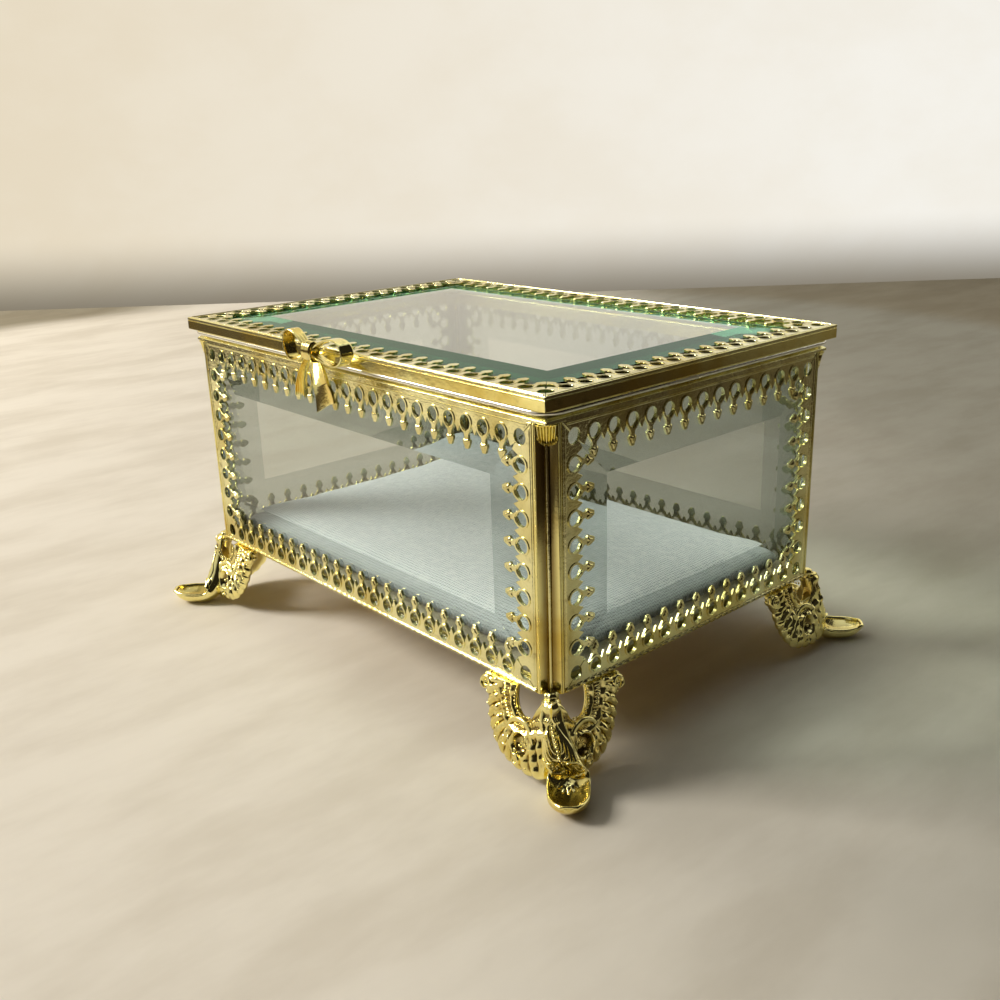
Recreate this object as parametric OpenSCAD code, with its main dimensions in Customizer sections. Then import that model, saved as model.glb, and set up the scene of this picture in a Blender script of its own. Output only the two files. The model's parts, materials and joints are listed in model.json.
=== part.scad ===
// Glass casket box: a gilt frame with pierced gallery strips holds bevelled panes,
// stands on four cast feet, and carries a hinged glass lid with a ribbon-bow thumb piece.
// Origin at the middle of the footprint on the table, +Z up, the bow towards -Y.

/* [Body] */
// Length of the body along the front
body_l = 135; // [110:1:170]
// Width of the body from front to back
body_w = 91; // [74:1:120]
// Height of the corner posts
body_h = 56; // [46:1:80]
// Height of the feet, from the table to the underside of the body
foot_h = 19; // [16:0.5:24]

/* [Posts] */
// Width of a corner post on each face
post_w = 4; // [3.5:0.1:5]
// Width of the flat band beside the post's groove
post_band = 1; // [0.8:0.1:1.3]
// Depth of the groove, measured along each face from the corner
groove_d = 2.4; // [1.6:0.1:2.8]
// Radius of the bead on each band
post_bead_r = 0.45; // [0.3:0.05:0.5]
// Height of the leaf in the top of the groove
cap_h = 4.3; // [3:0.1:6]

/* [Gallery strips] */
// Width of a pierced strip, from its plain edge to its prong tips
strip_w = 8.7; // [8:0.1:10]
// Thickness of a strip
strip_t = 0.7; // [0.5:0.05:0.9]
// Pitch that the prongs are spaced at, before it is rounded to fit the side
prong_pitch = 5.28; // [4.9:0.02:6]
// Width of the plain band along the strip's edge
strip_band = 1.65; // [1.2:0.05:2]
// Radius of the round end of a pierced hole
hole_r = 1.5; // [1.2:0.05:1.7]
// Length of the hole's point below its round end
hole_point = 1.85; // [1.6:0.05:2.1]
// Width of the thin arms round the hole's point
arm_w = 0.6; // [0.45:0.05:0.7]
// Half the width of a prong's neck
neck_hw = 0.62; // [0.5:0.02:0.75]
// Half the width of a prong's arrow head
head_hw = 1.15; // [0.9:0.05:1.3]

/* [Rails] */
// Height of the rounded crown above the posts
crown_h = 1.4; // [1:0.1:2]
// How far the bottom rail's flange reaches inwards past the posts
ledge_w = 2.4; // [1.6:0.1:3.5]
// Thickness of the rails' flanges
flange_t = 0.8; // [0.6:0.1:1]
// Length of the crown's inner leg behind the pane
inner_leg = 2.6; // [1.5:0.1:4]

/* [Glass] */
// Thickness of a side pane
pane_t = 3; // [2.4:0.1:3.1]
// Depth that the bevel takes off a pane's edge
bevel_drop = 1; // [0.8:0.05:1.2]
// Width of a side pane's bevel
bevel_w = 12.5; // [11.5:0.5:14]
// Thickness of the lid's glass
lid_glass_t = 2.25; // [2:0.05:2.5]
// Depth that the bevel takes off the lid glass's edge
lid_bevel_drop = 1.3; // [1.2:0.05:1.5]
// Width of the lid glass's bevel
lid_bevel_w = 15; // [13:0.5:18]

/* [Lid] */
// Overhang of the lid past the body on each side
lid_over = 1.5; // [1:0.25:3]
// Thickness of the lid's outer face
lid_face_t = 0.9; // [0.7:0.1:1.1]
// Width of the flange that the lid glass lies on
lid_flange_w = 6; // [5:0.5:8]
// Thickness of that flange
lid_flange_t = 0.6; // [0.5:0.1:0.8]
// Height of the rounded lip under the lid
lip_h = 1.25; // [1:0.05:1.6]
// How far the lip stands out past the body
lip_over = 1.2; // [0.6:0.1:1.6]
// Corner radius of the lip
lip_r = 5; // [3:0.5:7]
// Gap between the body's crown and the lip
lid_gap = 0.3; // [0.3:0.05:0.8]

/* [Base and pad] */
// Thickness of the base plate
plate_t = 0.8; // [0.6:0.1:1.2]
// Thickness of the stiff board under the pad
board_t = 1.5; // [1:0.1:2.5]
// Height of the pad at its edge
pad_edge_h = 3.6; // [2.5:0.1:5]
// How much higher the pad is in its middle
pad_crown = 1.9; // [1:0.1:3]
// Gap round the pad
pad_gap = 1.6; // [1:0.1:3]

/* [Feet] */
// Length of a foot's wing along the rail
wing_l = 19; // [17:0.5:22]
// Thickness of a wing
wing_t = 2.2; // [1.8:0.1:2.6]
// Lean of the wings, outwards at the bottom
wing_lean = 12; // [8:1:14]
// Reach of the toe's tip past the body's corner, along the diagonal
toe_reach = 13; // [12:0.5:15]
// Width of the toe
toe_w = 9; // [7:0.2:10]
// Height of the toe's upturned tip
toe_tip_h = 4; // [3.4:0.2:5]
// How far each toe stands beside its corner's diagonal, counterclockwise from above
toe_shift = 2.6; // [0:0.2:3]

/* [Bow] */
// Place of the bow's knot along the front
bow_x = 0; // [-20:0.5:20]
// Length of a loop
loop_l = 11.5; // [9:0.5:14]
// Height of a loop
loop_h = 8.6; // [7:0.2:10]
// Width of the ribbon at the loop's outer end
ribbon_w = 4.6; // [3.5:0.1:5.5]
// Thickness of the ribbon
ribbon_t = 0.8; // [0.6:0.05:1]
// Width of the knot
knot_w = 4.6; // [4:0.1:5.5]
// Length of the long tail
tail_l = 10; // [7:0.5:14]

/* [Hinges] */
// Distance of each hinge's middle from the end of the body
hinge_end = 27.5; // [18:0.5:36]
// Length of a hinge
hinge_l = 12; // [10:0.5:16]
// Radius of the hinge's barrel
barrel_r = 1.3; // [1.15:0.05:1.35]
// Radius of the hinge pin
pin_r = 0.45; // [0.35:0.05:0.5]
// Thickness of the hinge leaves
leaf_t = 0.7; // [0.6:0.05:0.8]
// Height of the body leaf on the back
leaf_h = 7; // [5:0.5:9]

/* [Clearances] */
// Gap between pieces that are set against each other
seat_gap = 0.05; // [0.03:0.01:0.08]
// Gap of the mitres and of a pane's edges
mitre_gap = 0.1; // [0.06:0.02:0.14]
// Radial clearance of the hinge pin
pin_gap = 0.05; // [0.03:0.01:0.08]
// Gap between neighbouring knuckles
knuckle_gap = 0.3; // [0.3:0.05:0.5]

/* [Hidden] */

gilt = "gold";
pale_gilt = "khaki";
far = 400;

// Heights of the levels, from the table up
z_base = foot_h;
z_post = z_base + body_h;
z_crown = z_post + crown_h;
z_lip = z_crown + lid_gap;
z_lid = z_lip + lip_h + seat_gap;
z_flange = z_lid + lid_flange_t;
lid_slope = lid_bevel_drop / lid_bevel_w;
lid_glass_edge = lid_glass_t - lid_bevel_drop;
z_strip = z_flange + lid_glass_edge + lid_slope * (strip_w - lid_face_t) + 2 * seat_gap;
z_axis = z_crown + lid_gap / 2;

// Depths inwards from the frame's outer face
pane_slope = bevel_drop / bevel_w;
pane_out = strip_t + seat_gap - bevel_drop + pane_slope * strip_w;
pane_back = pane_out + pane_t;
rail_d = pane_back + mitre_gap + flange_t;
ledge_d = post_w + ledge_w;
axis_v = lid_over + seat_gap + leaf_t + 0.75;
hinge_x = body_l / 2 - hinge_end;
lid_l = body_l + 2 * lid_over;
lid_w = body_w + 2 * lid_over;

// Place of the strip's features, measured inwards from its plain edge
hole_y = strip_band + hole_r;
hole_tip_y = hole_y + hole_point;
arm_y = hole_y + 0.55 * hole_r;
cusp_y = hole_tip_y + 0.55;
neck_y = hole_tip_y + arm_w + 0.15;
head_y = neck_y + 0.8;
corner_hole = hole_y + 0.15;
end_y = corner_hole + 1.6;

function side_length(i, l, w) = i % 2 == 0 ? l : w;
function side_half(i, l, w) = i % 2 == 0 ? w / 2 : l / 2;

// Puts a side's own frame on side i: x along it, y inwards from its outer face, z up
module on_side(i, l, w) {
    rotate([0, 0, 90 * i]) translate([0, -side_half(i, l, w), 0]) children();
}

// Puts a corner's own frame on corner (sx, sy): both axes point outwards
module on_corner(sx, sy) {
    translate([sx * body_l / 2, sy * body_w / 2, 0])
        mirror([sx < 0 ? 1 : 0, 0, 0]) mirror([0, sy < 0 ? 1 : 0, 0]) children();
}

// Cuts both ends of a side's rail along the mitres through the corners of its outline
module mitred(len) {
    difference() {
        children();
        for (s = [-1, 1]) translate([s * (len / 2 - mitre_gap / 2), 0, -far / 2])
            rotate([0, 0, s > 0 ? 45 : 135]) translate([0, -far / 2, 0]) cube(far);
    }
}

// Keeps what lies between the two posts of a side
module between_posts(len) {
    half = len / 2 - post_w - seat_gap;
    intersection() {
        children();
        translate([-half, -far / 2, -far / 2]) cube([2 * half, far, far]);
    }
}

// Outline of a prong over the middle c of its hole
function prong(c) = [
    [c - hole_r - 0.6 * arm_w, arm_y],
    [c - neck_hw, neck_y],
    [c - neck_hw, head_y],
    [c - head_hw, head_y + 0.3],
    [c - 0.88 * head_hw, head_y + 0.45 * (strip_w - head_y)],
    [c - 0.38 * head_hw, strip_w],
    [c + 0.38 * head_hw, strip_w],
    [c + 0.88 * head_hw, head_y + 0.45 * (strip_w - head_y)],
    [c + head_hw, head_y + 0.3],
    [c + neck_hw, head_y],
    [c + neck_hw, neck_y],
    [c + hole_r + 0.6 * arm_w, arm_y]];

// Pierced hole: a round end with a point towards the prong
module pierced_hole() {
    translate([0, hole_y]) circle(r = hole_r, $fn = 24);
    polygon([[-0.9 * hole_r, hole_y + hole_r / 3], [0.9 * hole_r, hole_y + hole_r / 3],
        [0, hole_tip_y]]);
}

// Flat pattern of a strip of length len with mitred ends, its plain edge along x
module strip_pattern(len) {
    half = len / 2;
    spaces = round((len - 2 * corner_hole) / prong_pitch);
    pitch = (len - 2 * corner_hole) / spaces;
    mid = [for (k = [0:spaces]) k * pitch - half + corner_hole];
    teeth = [for (k = [1:spaces - 1]) each concat([[mid[k] - pitch / 2, cusp_y]], prong(mid[k]))];
    edge = mitre_gap / 2;
    difference() {
        intersection() {
            polygon(concat([[edge - half, 0], [end_y + edge - half, end_y]], teeth,
                [[mid[spaces - 1] + pitch / 2, cusp_y], [half - end_y - edge, end_y],
                [half - edge, 0]]));
            // The first and last prongs are cut along the mitres too
            polygon([[edge - half, 0], [edge - half + 2 * strip_w, 2 * strip_w],
                [half - edge - 2 * strip_w, 2 * strip_w], [half - edge, 0]]);
        }
        for (x = mid) translate([x, 0]) pierced_hole();
    }
}

// A strip standing on a side's outer face, its plain edge at height z, prongs up or down
module standing_strip(len, z, up) {
    translate([0, strip_t, z]) rotate([90, 0, 0]) linear_extrude(strip_t)
        mirror([0, up ? 0 : 1]) strip_pattern(len);
}

// Extrudes a section given as (depth, height) along a side
module along_side(len) {
    translate([-len / 2, 0, 0]) rotate([90, 0, 90]) linear_extrude(len) children();
}

// Section of the top rail's crown, domed on top
module crown_section() {
    edge_h = 0.45 * crown_h;
    rise = crown_h - edge_h - seat_gap;
    dome_r = (pow(rail_d / 2, 2) + rise * rise) / (2 * rise);
    intersection() {
        translate([0, z_post + seat_gap]) square([rail_d, 2 * crown_h]);
        translate([rail_d / 2, z_crown - dome_r]) circle(r = dome_r, $fn = 96);
    }
}

// Top rail: crown, leg behind the pane, and the gallery strip that hangs from it
module top_rail(i) {
    len = side_length(i, body_l, body_w);
    panel = len - 2 * (post_w + seat_gap);
    color(gilt) on_side(i, body_l, body_w) union() {
        mitred(len) union() {
            along_side(len) crown_section();
            between_posts(len) along_side(len)
                translate([rail_d - flange_t, z_post - inner_leg])
                    square([flange_t, inner_leg + 0.4]);
        }
        standing_strip(panel, z_post, false);
        translate([1 - panel / 2, 0, z_post - 0.4]) cube([panel - 2, strip_t, 0.8]);
    }
}

// Bottom rail: flange under the pane and the base plate, and the gallery strip standing on it
module bottom_rail(i) {
    len = side_length(i, body_l, body_w);
    panel = len - 2 * (post_w + seat_gap);
    color(gilt) on_side(i, body_l, body_w) union() {
        mitred(len) between_posts(len) along_side(len) union() {
            translate([0, z_base]) square([ledge_d, flange_t]);
            translate([0.12, z_base + 0.4]) circle(r = 0.45, $fn = 32);
        }
        standing_strip(panel, z_base, true);
    }
}

// Upright strip beside a post: s is -1 at the low end of the side and 1 at the high end
module upright_strip(i, s) {
    len = side_length(i, body_l, body_w);
    floor_z = z_base + flange_t + 2 * seat_gap;
    color(pale_gilt) on_side(i, body_l, body_w) intersection() {
        translate([s * (len / 2 - post_w - seat_gap), strip_t, z_base + body_h / 2])
            rotate([90, 0, 0]) rotate([0, 0, s * 90]) linear_extrude(strip_t)
                strip_pattern(body_h);
        translate([-len / 2, -1, floor_z]) cube([len, 3, z_post - floor_z]);
    }
}

// Bevelled pane lying flat: l by w, its bevel on top, its lower face at z = 0
module bevelled_glass(l, w, t, drop, bevel) {
    tilt = atan(drop / bevel);
    difference() {
        translate([-l / 2, -w / 2, 0]) cube([l, w, t]);
        for (i = [0:3]) rotate([0, 0, 90 * i])
            translate([0, -side_half(i, l, w), t - drop]) rotate([tilt, 0, 0])
                translate([-far / 2, -bevel / 2, 0]) cube([far, 2 * bevel, 2 * t]);
    }
}

module pane(i) {
    len = side_length(i, body_l, body_w) - 2 * (post_w + mitre_gap + seat_gap);
    low = z_base + flange_t + seat_gap;
    high = z_post - mitre_gap;
    color("lightcyan", 0.35) on_side(i, body_l, body_w)
        translate([0, pane_back, (low + high) / 2]) rotate([90, 0, 0])
            bevelled_glass(len, high - low, pane_t, bevel_drop, bevel_w);
}

// Section of a corner post in plan, its corner at the origin and its metal towards -x, -y
module post_section() {
    band_edge = post_band - post_w;
    bead_in = -0.7 * post_bead_r;
    union() {
        difference() {
            translate([-post_w, -post_w]) square(post_w);
            polygon([[band_edge, 1], [band_edge, 0], [-groove_d, -groove_d],
                [0, band_edge], [1, band_edge], [1, 1]]);
        }
        translate([post_band / 2 - post_w, bead_in]) circle(r = post_bead_r, $fn = 32);
        translate([bead_in, post_band / 2 - post_w]) circle(r = post_bead_r, $fn = 32);
    }
}

module post(sx, sy) {
    color(gilt) on_corner(sx, sy) translate([0, 0, z_base]) linear_extrude(body_h) post_section();
}

// Closed solid through rings of points; each ring turns right-handed about the way the rings
// advance; a joined loft closes on its first ring, any other gets a fan on each end
module lofted(rings, joined = false) {
    n = len(rings[0]);
    m = len(rings);
    sides = [for (i = [0:(joined ? m - 1 : m - 2)]) for (j = [0:n - 1])
        let (a = i * n + j, b = i * n + (j + 1) % n,
            d = ((i + 1) % m) * n + j, c = ((i + 1) % m) * n + (j + 1) % n)
        each [[a, d, b], [b, d, c]]];
    top = (m - 1) * n;
    ends = joined ? [] : [for (j = [1:n - 2]) each [[0, j, j + 1], [top, top + j + 1, top + j]]];
    polyhedron([for (r = rings) each r], concat(sides, ends));
}

// Closed sheet between a front grid and a back grid: rows upwards, columns left to right
module sheet_solid(front, back) {
    m = len(front);
    n = len(front[0]);
    s = m * n;
    skin = [for (i = [0:m - 2]) for (k = [0:n - 2])
        let (a = i * n + k, b = a + 1, d = a + n, c = d + 1)
        each [[a, d, c], [a, c, b], [s + a, s + b, s + c], [s + a, s + c, s + d]]];
    rows = [for (k = [0:n - 2]) let (a = k, b = k + 1, d = (m - 1) * n + k, c = d + 1)
        each [[a, b, s + b], [a, s + b, s + a], [c, d, s + d], [c, s + d, s + c]]];
    cols = [for (i = [0:m - 2]) let (a = i * n, d = a + n, b = a + n - 1, c = b + n)
        each [[d, a, s + a], [d, s + a, s + d], [b, c, s + c], [b, s + c, s + b]]];
    polyhedron(concat([for (r = front) each r], [for (r = back) each r]),
        concat(skin, rows, cols));
}

// Small fluted leaf that fills the top of a post's groove
cap_rows = 8;
function groove_wall(w, s) = let (b = -groove_d + 0.045, e = post_band - post_w + 0.045,
    q = abs(w) * s, near = b + (0.045 - b) * q, away = b + (e - b) * q)
    w < 0 ? [near, away] : [away, near];
function cap_width(t) = 0.1 + 0.84 * pow(t, 0.6);
function cap_bulge(w, t) = (0.25 + 1.5 * t) * (1 - w * w) + 0.3
    + 0.16 * t * cos(540 * w);
module cap(sx, sy) {
    wide = [for (k = [-4:4]) k / 4];
    back = [for (i = [0:cap_rows]) let (t = i / cap_rows) [for (w = wide)
        let (p = groove_wall(w, cap_width(t))) [p[0], p[1], z_post - seat_gap - cap_h * (1 - t)]]];
    front = [for (i = [0:cap_rows]) let (t = i / cap_rows) [for (w = wide)
        let (p = groove_wall(w, cap_width(t)), o = cap_bulge(w, t))
        [p[0] + 0.7 * o, p[1] + 0.7 * o, z_post - seat_gap - cap_h * (1 - t)]]];
    color(pale_gilt) on_corner(sx, sy) sheet_solid(front, back);
}

// Foot: outline of one wing, u away from the corner and z up
module wing_outline() {
    top = foot_h + 2;
    difference() {
        union() {
            polygon([[-1, top], [wing_l - 0.3, top], [wing_l, foot_h - 1.6], [wing_l - 2, foot_h - 4.6],
                [wing_l - 2.9, foot_h - 8], [wing_l - 4.2, foot_h - 11], [wing_l - 5.9, foot_h - 13.6],
                [wing_l - 8.6, foot_h - 15.6], [7.4, 2.8], [4, 2.2], [-1.5, 2.6]]);
            for (p = [[wing_l - 1.3, foot_h - 1.9, 1.8], [wing_l - 2.7, foot_h - 5.4, 1.3],
                [wing_l - 3.6, foot_h - 8.8, 1.3], [wing_l - 5, foot_h - 11.6, 1.3],
                [wing_l - 7, foot_h - 13.9, 1.3], [wing_l - 9.6, foot_h - 15.5, 1.25],
                [wing_l - 12.4, 2.9, 1.15]])
                translate([p[0], p[1]]) circle(r = p[2], $fn = 24);
        }
        polygon([[2, top + 1], [2.1, foot_h - 1.8], [2.8, foot_h - 4.2], [4.3, foot_h - 5.9],
            [6.5, foot_h - 6.3], [8.3, foot_h - 5.1], [9.2, foot_h - 2.8], [9.5, top + 1]]);
    }
}

rose_u = 6.2;
rose_z = 7.4;
module wing() {
    mirror([1, 0, 0]) rotate([90, 0, 0]) union() {
        linear_extrude(wing_t) wing_outline();
        translate([0, 0, -0.5]) linear_extrude(1) {
            translate([rose_u, rose_z]) circle(r = 2.3, $fn = 32);
            translate([wing_l - 2.5, foot_h - 3.1]) circle(r = 1.7, $fn = 32);
        }
        translate([rose_u, rose_z, -0.45]) sphere(r = 0.95, $fn = 32);
        for (a = [0:60:300]) translate([rose_u + 1.5 * cos(a), rose_z + 1.5 * sin(a), -0.42])
            sphere(r = 0.42, $fn = 32);
    }
}

// Leg and toe: distance out along the diagonal, height, half thickness, half width, dish
function leg_stations() = [
    [-1.6, foot_h + 1, 1.7, 1.9, 0],
    [-0.4, foot_h - 4.6, 2, 2.6, 0],
    [0.6, foot_h - 9.2, 2.4, 3.4, 0],
    [1.5, 6, 2.6, 0.47 * toe_w, 0],
    [2.9, 3.3, 2.2, 0.5 * toe_w, 0.3],
    [5, 1.5, 1.7, 0.5 * toe_w, 1],
    [7.8, 1.15, 1.4, 0.49 * toe_w, 1],
    [toe_reach - 2.2, 1.7, 1.2, 0.43 * toe_w, 0.8],
    [toe_reach - 0.8, 2.7, 0.8, 0.29 * toe_w, 0.5],
    [toe_reach - 0.1, toe_tip_h - 0.4, 0.4, 0.12 * toe_w, 0.2]];
leg_sides = 24;
function leg_tilt(q, i) = let (a = q[max(i - 1, 0)], b = q[min(i + 1, len(q) - 1)])
    atan2(b[1] - a[1], b[0] - a[0]);
// The leg leans to the side on its way down, by the toe's shift
function leg_lean(d, shift) = shift * min(1, max(0, (d + 0.4) / 3.3));
// A point out along the diagonal, off to its side and up
function on_diagonal(out, w, z) = let (f = sqrt(0.5)) [f * (out + w), f * (out - w), z];
function leg_ring(q, i, shift) = let (s = q[i], tilt = leg_tilt(q, i)) [
    for (j = [0:leg_sides - 1]) let (a = 360 * j / leg_sides, w = s[3] * cos(a),
        b = abs(sin(a)), h = sin(a) < 0 ? -(s[2] * pow(b, 0.7) - s[4] * 1.5 * b * b) : s[2] * b)
    on_diagonal(s[0] + h * sin(tilt), w + leg_lean(s[0], shift), s[1] - h * cos(tilt))];

module leg(shift) {
    q = leg_stations();
    lofted([for (i = [0:len(q) - 1]) leg_ring(q, i, shift)]);
    // A row of beads down the leg's front
    for (k = [0:5]) let (i = k < 3 ? 1 : 2, t = 1 + 0.4 * k - i, tilt = leg_tilt(q, i),
        s = q[i] + t * (q[i + 1] - q[i]))
        translate(on_diagonal(s[0] - s[2] * sin(tilt), leg_lean(s[0], shift), s[1] + s[2] * cos(tilt)))
            sphere(r = 0.7, $fn = 32);
}

module foot(sx, sy) {
    color(gilt) on_corner(sx, sy) intersection() {
        union() {
            leg(-sx * sy * toe_shift);
            for (m = [0, 1]) mirror([m, -m, 0]) translate([0, 0.6, foot_h])
                rotate([wing_lean, 0, 0]) translate([0, 0, -foot_h]) wing();
        }
        translate([-far / 2, -far / 2, 0]) cube([far, far, foot_h - seat_gap]);
    }
}

// Ring of a rounded rectangle with drawn-in sides, at height z
function cushion_ring(hl, hw, r, draw, z) = let (q = min(r, 0.9 * hw)) [
    for (c = [0:3]) let (cx = (c == 0 || c == 3 ? 1 : -1) * (hl - q),
        cy = (c < 2 ? 1 : -1) * (hw - q)) each concat(
        [for (k = [0:4]) [cx + q * cos(90 * c + 22.5 * k), cy + q * sin(90 * c + 22.5 * k), z]],
        [for (k = [1:7]) let (t = k / 8, d = draw * 4 * t * (1 - t)) c % 2 == 0
            ? [(1 - 2 * t) * (c == 0 ? hl - q : q - hl), (c == 0 ? 1 : -1) * (hw - d), z]
            : [(c == 1 ? -1 : 1) * (hl - d), (1 - 2 * t) * (c == 1 ? hw - q : q - hw), z]])];

module base_pad() {
    hl = body_l / 2 - pane_back - pad_gap;
    hw = body_w / 2 - pane_back - pad_gap;
    z0 = z_board + board_t + seat_gap;
    rows = [[2, 0], [0.7, 0.12], [0, 0.42], [0.15, 0.68], [0.8, 0.9], [2, 1]];
    dome = [[5, 0.4], [10, 0.66], [17, 0.85], [26, 0.96], [hw - 2, 1]];
    color("lightsteelblue") lofted(concat(
        [for (q = rows) cushion_ring(hl - q[0], hw - q[0], 4, 0.5, z0 + q[1] * pad_edge_h)],
        [for (q = dome) cushion_ring(hl - min(q[0], hw - 2), hw - min(q[0], hw - 2), 4, 0.3,
            z0 + pad_edge_h + q[1] * pad_crown)]));
}

z_plate = z_base + flange_t + seat_gap;
z_board = z_plate + plate_t + seat_gap;
floor_l = body_l - 2 * (post_w + mitre_gap);
floor_w = body_w - 2 * (post_w + mitre_gap);
module base_plate() {
    color(gilt) translate([-floor_l / 2, -floor_w / 2, z_plate]) cube([floor_l, floor_w, plate_t]);
}
module base_board() {
    color("tan") translate([-floor_l / 2 + 0.2, -floor_w / 2 + 0.2, z_board])
        cube([floor_l - 0.4, floor_w - 0.4, board_t]);
}

// Hinge: the knuckles share the length; the body's leaf has the outer two
knuckle_l = (hinge_l - 2 * knuckle_gap) / 3;
module barrel(r, x, l) {
    translate([x, axis_v, z_axis]) rotate([0, 90, 0]) cylinder(r = r, h = l, $fn = 32);
}
module hinge_leaf_body(hx) {
    color(gilt) translate([hx, body_w / 2, 0]) difference() {
        union() {
            translate([-hinge_l / 2, seat_gap, z_axis - leaf_h])
                cube([hinge_l, leaf_t, leaf_h - 0.45]);
            for (x = [-hinge_l / 2, hinge_l / 2 - knuckle_l]) {
                barrel(barrel_r, x, knuckle_l);
                translate([x, seat_gap, z_axis - 1.15]) cube([knuckle_l, axis_v - seat_gap, 0.7]);
            }
        }
        barrel(pin_r + pin_gap, -hinge_l, 2 * hinge_l);
        for (x = [-hinge_l / 3, hinge_l / 3]) translate([x, 0, z_axis - 0.68 * leaf_h])
            rotate([-90, 0, 0]) cylinder(r = 0.6, h = 2, $fn = 32);
    }
}
module hinge_pin(hx) {
    half = hinge_l / 2 + seat_gap;
    color(pale_gilt) translate([hx, body_w / 2, 0]) union() {
        barrel(pin_r, -half - 0.3, 2 * half + 0.6);
        barrel(0.75 * barrel_r, -half - 0.5, 0.5);
        barrel(0.75 * barrel_r, half, 0.5);
    }
}
module hinge_leaf_lid(hx) {
    back_v = lid_over + seat_gap;
    low = z_lid + seat_gap;
    color(gilt) translate([hx, body_w / 2, 0]) difference() {
        union() {
            translate([-hinge_l / 2, back_v, low]) cube([hinge_l, leaf_t, z_strip - low]);
            translate([-knuckle_l / 2, back_v, z_axis]) cube([knuckle_l, leaf_t, z_strip - z_axis]);
            barrel(barrel_r, -knuckle_l / 2, knuckle_l);
        }
        barrel(pin_r + pin_gap, -hinge_l, 2 * hinge_l);
    }
}

// Lid
module lid_rail(i) {
    len = side_length(i, lid_l, lid_w);
    color(gilt) on_side(i, lid_l, lid_w) mitred(len) along_side(len)
        translate([0, z_lid]) union() {
            square([lid_face_t, z_strip - z_lid]);
            square([lid_flange_w, lid_flange_t]);
        }
}
module lid_strip(i) {
    color(pale_gilt) on_side(i, lid_l, lid_w)
        translate([0, 0, z_strip + seat_gap]) linear_extrude(strip_t)
            strip_pattern(side_length(i, lid_l, lid_w));
}
module lid_glass() {
    edge = lid_face_t + mitre_gap;
    color("lightcyan", 0.35) translate([0, 0, z_flange + seat_gap])
        bevelled_glass(lid_l - 2 * edge, lid_w - 2 * edge, lid_glass_t, lid_bevel_drop,
            lid_bevel_w);
}
module rounded_plan(l, w, r) {
    polygon([for (c = [0:3]) for (k = [0:6]) let (sx = c == 0 || c == 3 ? 1 : -1,
        sy = c < 2 ? 1 : -1)
        [sx * (l / 2 - r) + r * cos(90 * c + 15 * k), sy * (w / 2 - r) + r * sin(90 * c + 15 * k)]]);
}
module lid_lip() {
    l = body_l + 2 * lip_over;
    w = body_w + 2 * lip_over;
    in_l = body_l - 2 * rail_d;
    in_w = body_w - 2 * rail_d;
    color(pale_gilt) difference() {
        union() {
            translate([0, 0, z_lip]) linear_extrude(lip_h)
                rounded_plan(l - 0.6, w - 0.6, lip_r - 0.3);
            translate([0, 0, z_lip + 0.3]) linear_extrude(lip_h - 0.6) rounded_plan(l, w, lip_r);
        }
        translate([0, 0, z_lip - 1]) linear_extrude(lip_h + 2) rounded_plan(in_l, in_w, 1.5);
    }
}

// Bow: the knot sits on the lid's face, and the loops and tails come off it
knot_d = 5.6;
knot_z = z_lid + 3.6;
face_y = -lid_w / 2 - 2 * seat_gap;
ribbon_y = face_y - ribbon_w / 2;
knot_y = -lid_w / 2 - seat_gap - 0.96 / 1.04 * knot_d / 2;
function knot_ring(z, a, b) = [for (j = [0:19]) let (t = 18 * j, f = 1 + 0.04 * cos(6 * t))
    [bow_x + a * f * cos(t), knot_y + b * f * sin(t), knot_z + z]];
module bow_knot() {
    a = knot_w / 2 / 1.04;
    b = knot_d / 2 / 1.04;
    color(pale_gilt) lofted([knot_ring(-2.6, 0.55 * a, 0.6 * b), knot_ring(-2.2, 0.85 * a, 0.85 * b),
        knot_ring(-1, 0.97 * a, 0.98 * b), knot_ring(0.6, a, b), knot_ring(1.8, 0.92 * a, 0.92 * b),
        knot_ring(2.4, 0.6 * a, 0.65 * b)]);
}

// A loop's ribbon at angle t round the loop: place along the front and height
function loop_at(s, t) = let (q = (1 - cos(t)) / 2, tall = loop_h * (0.22 + 0.78 * pow(q, 0.7)))
    [bow_x + s * (knot_w / 2 + seat_gap + 0.6 * ribbon_t + (loop_l - ribbon_t) * q),
        knot_z + 0.6 + s * lift_side * q + 0.5 * tall * sin(t)];
lift_side = -0.9;
function loop_ring(s, t) = let (p = loop_at(s, t), e = loop_at(s, t + 2 * s), f = loop_at(s, t - 2 * s),
    d = [e[0] - f[0], e[1] - f[1]] / norm([e[0] - f[0], e[1] - f[1]]),
    q = (1 - cos(t)) / 2, w = ribbon_w * (0.3 + 0.2 * q), h = ribbon_t / 2,
    cy = ribbon_y + ribbon_w * 0.12 * (1 - q))
    [for (c = [[-1, -0.5], [-0.9, -1], [0.9, -1], [1, -0.5], [1, 0.5], [0.9, 1], [-0.9, 1], [-1, 0.5]])
        [p[0] - c[1] * h * d[1], cy + c[0] * w, p[1] + c[1] * h * d[0]]];
module bow_loop(s) {
    color(pale_gilt) lofted([for (i = [0:23]) loop_ring(s, 15 * i * s)], true);
}

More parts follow.
